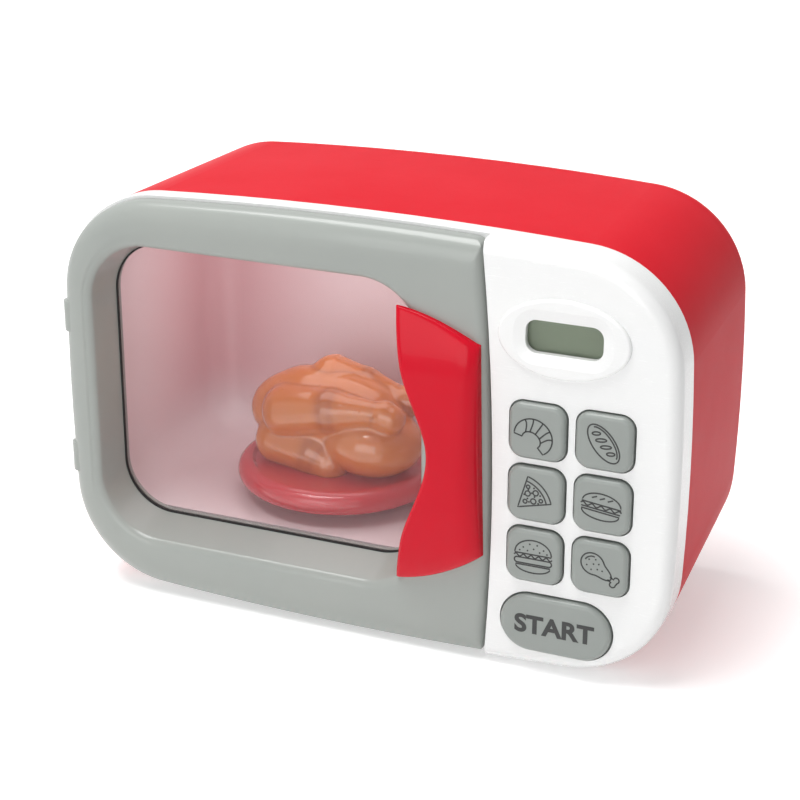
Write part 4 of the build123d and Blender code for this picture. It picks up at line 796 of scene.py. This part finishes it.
def sandwichLines():
    top = np.concatenate([ovalLine(8.6, 4.6, 172, 8, 30, (0, 1.6)), [[8.9, 1.0], [-8.9, 1.0]]])
    base = np.concatenate([[[-8.6, -2.4], [8.6, -2.4]], ovalLine(8.4, 3.4, -6, -174, 30, (0, -2.6))])
    lines = [(turned(top, -7), True), (turned(base, -7), True),
             (turned(waveLine(-9.2, 9.2, -0.1, 0.6, 4.5, 70), -7), False),
             (turned([[-8.8, -1.3], [8.8, -1.3]], -7), False)]
    for shift in (-3.6, 0.0, 3.6):
        lines.append((turned([[shift - 1.1, 3.4], [shift + 1.1, 4.6]], -7), False))
    return lines


def burgerLines():
    bun = np.concatenate([ovalLine(8.4, 6.4, 2, 178, 36, (0, 1.6)), [[-8.4, 1.2], [8.4, 1.2]]])
    patty = np.concatenate([ovalLine(1.3, 1.3, -90, 90, 10, (7.3, -2.2)),
                            ovalLine(1.3, 1.3, 90, 270, 10, (-7.3, -2.2))])
    base = np.concatenate([[[8.0, -4.3]], ovalLine(8.0, 3.4, -14, -166, 26, (0, -4.3)), [[-8.0, -4.3]]])
    seeds = [(-4.6, 4.2), (-1.6, 6.0), (1.8, 5.9), (4.8, 4.0), (0.2, 3.9), (-2.6, 2.8), (3.0, 2.7),
             (-6.2, 2.6), (6.4, 2.4)]
    lettuce = waveLine(-8.8, 8.8, 0.1, 0.6, 5, 80)
    return [(bun, True), (lettuce, False), (patty, True), (base, True)] + dots(seeds, 0.42)


def drumstickLines():
    angle = np.linspace(0, 2 * math.pi, 56, endpoint=False)
    reach = 5.4 + 5.0 * np.exp(-(np.minimum(angle, 2 * math.pi - angle) / 0.42) ** 2)
    meat = np.stack([reach * np.cos(angle), 0.92 * reach * np.sin(angle)], 1)
    bone = np.concatenate([[[9.3, 0.9], [11.4, 1.0]], ovalLine(1.3, 1.3, 170, -30, 14, (12.4, 1.5)),
                           ovalLine(1.3, 1.3, 30, -170, 14, (12.4, -1.3)), [[11.4, -1.0], [9.3, -0.9]]])
    shine = ovalLine(3.7, 3.5, 110, 190, 14)
    spots = [(-1.6, -2.2), (1.2, -2.6), (3.2, -0.6), (0.4, 0.2), (-2.4, 0.6), (2.2, 1.8), (5.2, 0.4),
             (-0.2, 2.6)]
    lines = [(meat, True), (bone, False), (shine, False)] + dots(spots, 0.4)
    return [(turned(line[0], -36, (-2.8, 2.2)),) + tuple(line[1:]) for line in lines]


def addWord(word, centre, body):
    # The word in the plain built-in face, made a mesh and fitted to its width and height
    s = printSettings
    curve = bpy.data.curves.new("word", "FONT")
    curve.body = word
    curve.size, curve.offset, curve.extrude = 1.0, s["wordBold"], s["wordDepth"]
    curve.resolution_u = s["wordCurves"]
    holder = addObject("word", curve)
    bpy.context.view_layer.update()
    lettering = bpy.data.meshes.new_from_object(holder.evaluated_get(bpy.context.evaluated_depsgraph_get()))
    points = np.empty(3 * len(lettering.vertices))
    lettering.vertices.foreach_get("co", points)
    points = points.reshape(-1, 3)
    low, high = points.min(0), points.max(0)
    points = (points - (low + high) / 2) / (high - low) * [s["wordWidth"], s["wordHeight"], s["thickness"]]
    places = placed(points[:, 0] + centre[0], points[:, 2] + s["ahead"] + s["thickness"] / 2,
                    points[:, 1] + centre[1])
    lettering.vertices.foreach_set("co", places.ravel())
    lettering.name = "startWord"
    bpy.data.objects.remove(holder)
    bpy.data.curves.remove(curve)
    turnOutward(lettering, s["merge"])
    lettering.materials.clear()
    lettering.materials.append(printBlack)
    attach(addObject("startWord", lettering), body)


def printButtons():
    s = printSettings
    pictures = (("croissant", croissantLines), ("loaf", loafLines), ("pizza", pizzaLines),
                ("sandwich", sandwichLines), ("burger", burgerLines), ("drumstick", drumstickLines))
    spots = [(x, z) for z in s["rows"] for x in s["columns"]]
    for (name, lines), spot in zip(pictures, spots):
        addPrint(name + "Picture", lines(), spot, name)
    addWord("START", s["start"], "start")


printButtons()
print("buttons printed")


# Roast chicken: one skin round lumps that melt into each other, read outwards from its middle

chickenSettings = {"middle": (-40.0, 11.0, 73.0), "base": 53.1, "reach": 64.0,
                   "rows": 150, "columns": 260,
                   "nearReach": 6.0, "steps": 170, "melt": 2.6, "paintedShadeWidth": 0.6,
                   "level": -1e-3, "farAway": 1e3}
chickenLumps = (
    ((-46, 14, 75), (42, 22, 24)), ((-20, 7, 68), (25, 22, 17)), ((-60, 17, 84), (15, 15, 13)),
)
chickenLimbs = (
    ((-62, 0, 80), 13.0, (-38, -3.5, 85), 10.2), ((-38, -3.5, 85), 10.2, (-18, -4, 87), 6.6),
    ((-46, 20, 91), 13.0, (-31, 22, 90), 9.0), ((-31, 22, 90), 9.0, (-16, 22, 87.5), 6.0),
    ((-9.5, -3, 86.5), 7.6, (-6, -3.5, 85.5), 6.8), ((-9, 20.5, 86.5), 6.8, (-5, 20.5, 85.5), 6.2),
    ((-68, 3, 63), 12.5, (-47, -1, 60.5), 11.5), ((-47, -1, 60.5), 11.5, (-39, -3, 57), 9.5),
    ((-68, 25, 64), 12.5, (-44, 29, 60), 10.5),
)


def lumpDistance(points, centre, size):
    # Distance to an ellipsoid's surface, estimated from its scaled radius and that radius's slope
    scaled = (points - np.array(centre)) / np.array(size)
    radius = np.linalg.norm(scaled, axis=-1)
    slope = np.linalg.norm(scaled / np.array(size), axis=-1)
    return radius * (radius - 1) / np.maximum(slope, 1e-6)


def limbDistance(points, start, startRadius, end, endRadius):
    # Distance to a round limb that tapers from one end to the other
    start, end = np.array(start, float), np.array(end, float)
    axis = end - start
    share = np.clip((points - start) @ axis / (axis @ axis), 0, 1)
    away = np.linalg.norm(points - start - share[..., None] * axis, axis=-1)
    return away - (startRadius + (endRadius - startRadius) * share)


def chickenDistances(points):
    return ([lumpDistance(points, *lump) for lump in chickenLumps]
            + [limbDistance(points, *limb) for limb in chickenLimbs])


def melted(distances, melt):
    # Union whose creases are filled with a small round
    whole = distances[0]
    for other in distances[1:]:
        overlap = np.maximum(melt - np.abs(whole - other), 0) / melt
        whole = np.minimum(whole, other) - overlap ** 2 * melt / 4
    return whole


def makeChicken():
    # From the middle outwards in every direction, the outermost place inside a lump or limb is on the skin
    s = chickenSettings
    middle = np.array(s["middle"])
    polar, around = np.meshgrid(np.linspace(0, math.pi, s["rows"] + 2)[1:-1],
                                np.linspace(0, 2 * math.pi, s["columns"], endpoint=False), indexing="ij")
    flat = np.sin(polar)
    directions = np.stack([flat * np.cos(around), flat * np.sin(around), np.cos(polar)], -1)
    directions = np.concatenate([directions.reshape(-1, 3), [[0, 0, 1], [0, 0, -1]]])
    steps = np.linspace(s["reach"], s["nearReach"], s["steps"])
    heights = np.stack([melted(chickenDistances(middle + directions * step), s["melt"]) for step in steps])
    first = np.argmax(heights < 0, axis=0)
    index = np.arange(len(first))
    outside, inside = heights[first - 1, index], heights[first, index]
    reach = steps[first - 1] + (steps[first] - steps[first - 1]) * outside / (outside - inside)
    downward = np.minimum(directions[:, 2], s["level"])
    toBase = np.where(directions[:, 2] < s["level"], (s["base"] - middle[2]) / downward, s["farAway"])
    places = middle + directions * np.minimum(reach, toBase)[:, None]
    nearest = np.sort(np.stack(chickenDistances(places)), axis=0)
    # Painted shade: near 1 where two lumps or limbs meet in a crease, so the skin is painted darker there
    paintedCreaseShade = np.exp(-np.maximum(nearest[1] - nearest[0], 0) / s["paintedShadeWidth"])
    rows, columns = polar.shape
    last = rows * columns
    ring = np.arange(columns)
    faces = [gridFaces(rows, columns), capFaces(ring, last),
             capFaces(ring + last - columns, last + 1, flip=True)]
    skin = addMesh("chickenSkin", places * mm, faces, chickenBrown)
    paintedShadeValues = skin.data.attributes.new("paintedCreaseShade", "FLOAT", "POINT").data
    paintedShadeValues.foreach_set("value", paintedCreaseShade.astype(np.float32))
    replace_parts(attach(skin, "turntable"), "roast_chicken")


makeChicken()
print("chicken made")


# Finishes of the CAD pieces that show as they are

nodeFinishes = (
    (shellRed, ("rear_shell", "battery_cover")), (bezelWhite, ("front_bezel",)),
    (innerGrey, ("door_liner", "door_latch")), (gasketBlack, ("window_gasket",)),
    (paneClear, ("door_window",)), (clipSteel, ("latch_clip", "battery_contacts")),
    (screwSteel, ("hinge_pin", "drive_motor", "gear_axle")), (cavityWhitePaintedShade, ("cavity_liner",)),
    (footRubber, ("rubber_feet",)), (paleRubber, ("rubber_keypad",)), (boardGreen, ("control_board",)),
    (blackPlastic, ("board_parts", "display_holder", "gear_tray", "battery_box", "speaker_clamp")),
    (lensClear, ("display_lens",)), (displayGreen, ("display_module",)),
    (gearWhite, ("motor_pinion", "compound_gear", "turntable_bush", "output_gear")),
    (plateRed, ("turntable_plate",)), (cellJacket, ("batteries",)), (speakerGrey, ("speaker",)),
)
endingFinishes = {"screws": screwSteel, "screw": screwSteel, "button": buttonGrey, "lead": leadJacket}


def finishNodes():
    # A node's finish by its name, or by the last word of its name
    finishes = {name: finish for finish, names in nodeFinishes for name in names}
    for name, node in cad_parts.items():
        finish = finishes.get(name) or endingFinishes.get(name.split("_")[-1], plateRed)
        node.data.materials.clear()
        node.data.materials.append(finish)


finishNodes()
print("CAD pieces finished")


# Studio: pale floor, white surroundings, one large soft light above and a weaker one in front

studioSettings = {"world": 0.26, "floorGlow": 0.4, "floorWhite": 0.94, "floorRough": 0.6, "floorSheen": 0.2}
floorCurve = ((-3.0, 0.0), (1.2, 0.0), (1.5, 0.05), (1.8, 0.2), (2.0, 0.5), (2.1, 1.0), (2.1, 3.0))
floorReach = 3.0
lampSettings = (
    {"name": "keyLight", "place": (-0.35, -0.3, 1.75), "size": (1.2, 0.9), "power": 30.0},
    {"name": "frontFill", "place": (-0.1, -1.7, 0.55), "size": (1.3, 0.9), "power": 8.5},
    # Light that comes through the thin housing into the cavity
    {"name": "cavityGlow", "place": (-0.05, 0.012, 0.174), "size": (0.13, 0.08), "power": 0.055,
     "target": (-0.05, 0.012, 0.1), "colour": (1.0, 0.93, 0.93)},
)


def addAreaLight(name, place, size, power, target=(0, 0, 0.1), colour=(1, 1, 1)):
    lamp = bpy.data.lights.new(name, "AREA")
    lamp.shape = "RECTANGLE"
    lamp.size, lamp.size_y = size
    lamp.energy = power
    lamp.color = colour
    holder = addObject(name, lamp)
    holder.location = place
    holder.rotation_euler = (Vector(place) - Vector(target)).to_track_quat("Z", "Y").to_euler()
    holder.visible_camera = False


def seenShare(tree):
    # One for camera, mirrored and see-through rays, nothing for the light that surfaces scatter
    rays = addNode(tree, "ShaderNodeLightPath").outputs
    mirrored = worked(tree, "MAXIMUM", rays["Is Camera Ray"], rays["Is Glossy Ray"])
    return worked(tree, "MAXIMUM", mirrored, rays["Is Transmission Ray"])


def makeWorld(settings):
    # White where it is seen, mirrored or seen through something, and a soft grey light to surfaces
    world = bpy.data.worlds.new("studio")
    world.use_nodes = True
    bpy.context.scene.world = world
    tree = world.node_tree
    background = tree.nodes["Background"]
    strength = ranged(tree, seenShare(tree), settings["world"], 1.0)
    tree.links.new(strength, background.inputs["Strength"])
    background.inputs["Color"].default_value = (1, 1, 1, 1)


def makeFloor(settings):
    # A wide sheet that curves up far behind the toy; it keeps the toy's shadow, and a glow that only
    # camera, mirrored and see-through rays meet makes the rest of it white
    points = np.array([[(x, y, z) for x in (-floorReach, floorReach)] for y, z in floorCurve])
    material, tree, shader = newMaterial("floorWhite")
    white = settings["floorWhite"]
    setInputs(shader, {"Base Color": (white, white, white, 1), "Roughness": settings["floorRough"],
                       "Specular IOR Level": settings["floorSheen"], "Emission Color": (1, 1, 1, 1)})
    glow = worked(tree, "MULTIPLY", seenShare(tree), settings["floorGlow"])
    tree.links.new(glow, shader.inputs["Emission Strength"])
    faces = gridFaces(len(floorCurve), 2, closeColumns=False)[:, ::-1]
    addMesh("floor", points, [faces], material, outward=False)


makeWorld(studioSettings)
makeFloor(studioSettings)
for lamp in lampSettings:
    addAreaLight(**lamp)
bpy.context.scene.view_settings.view_transform = "Standard"

print("stage set")
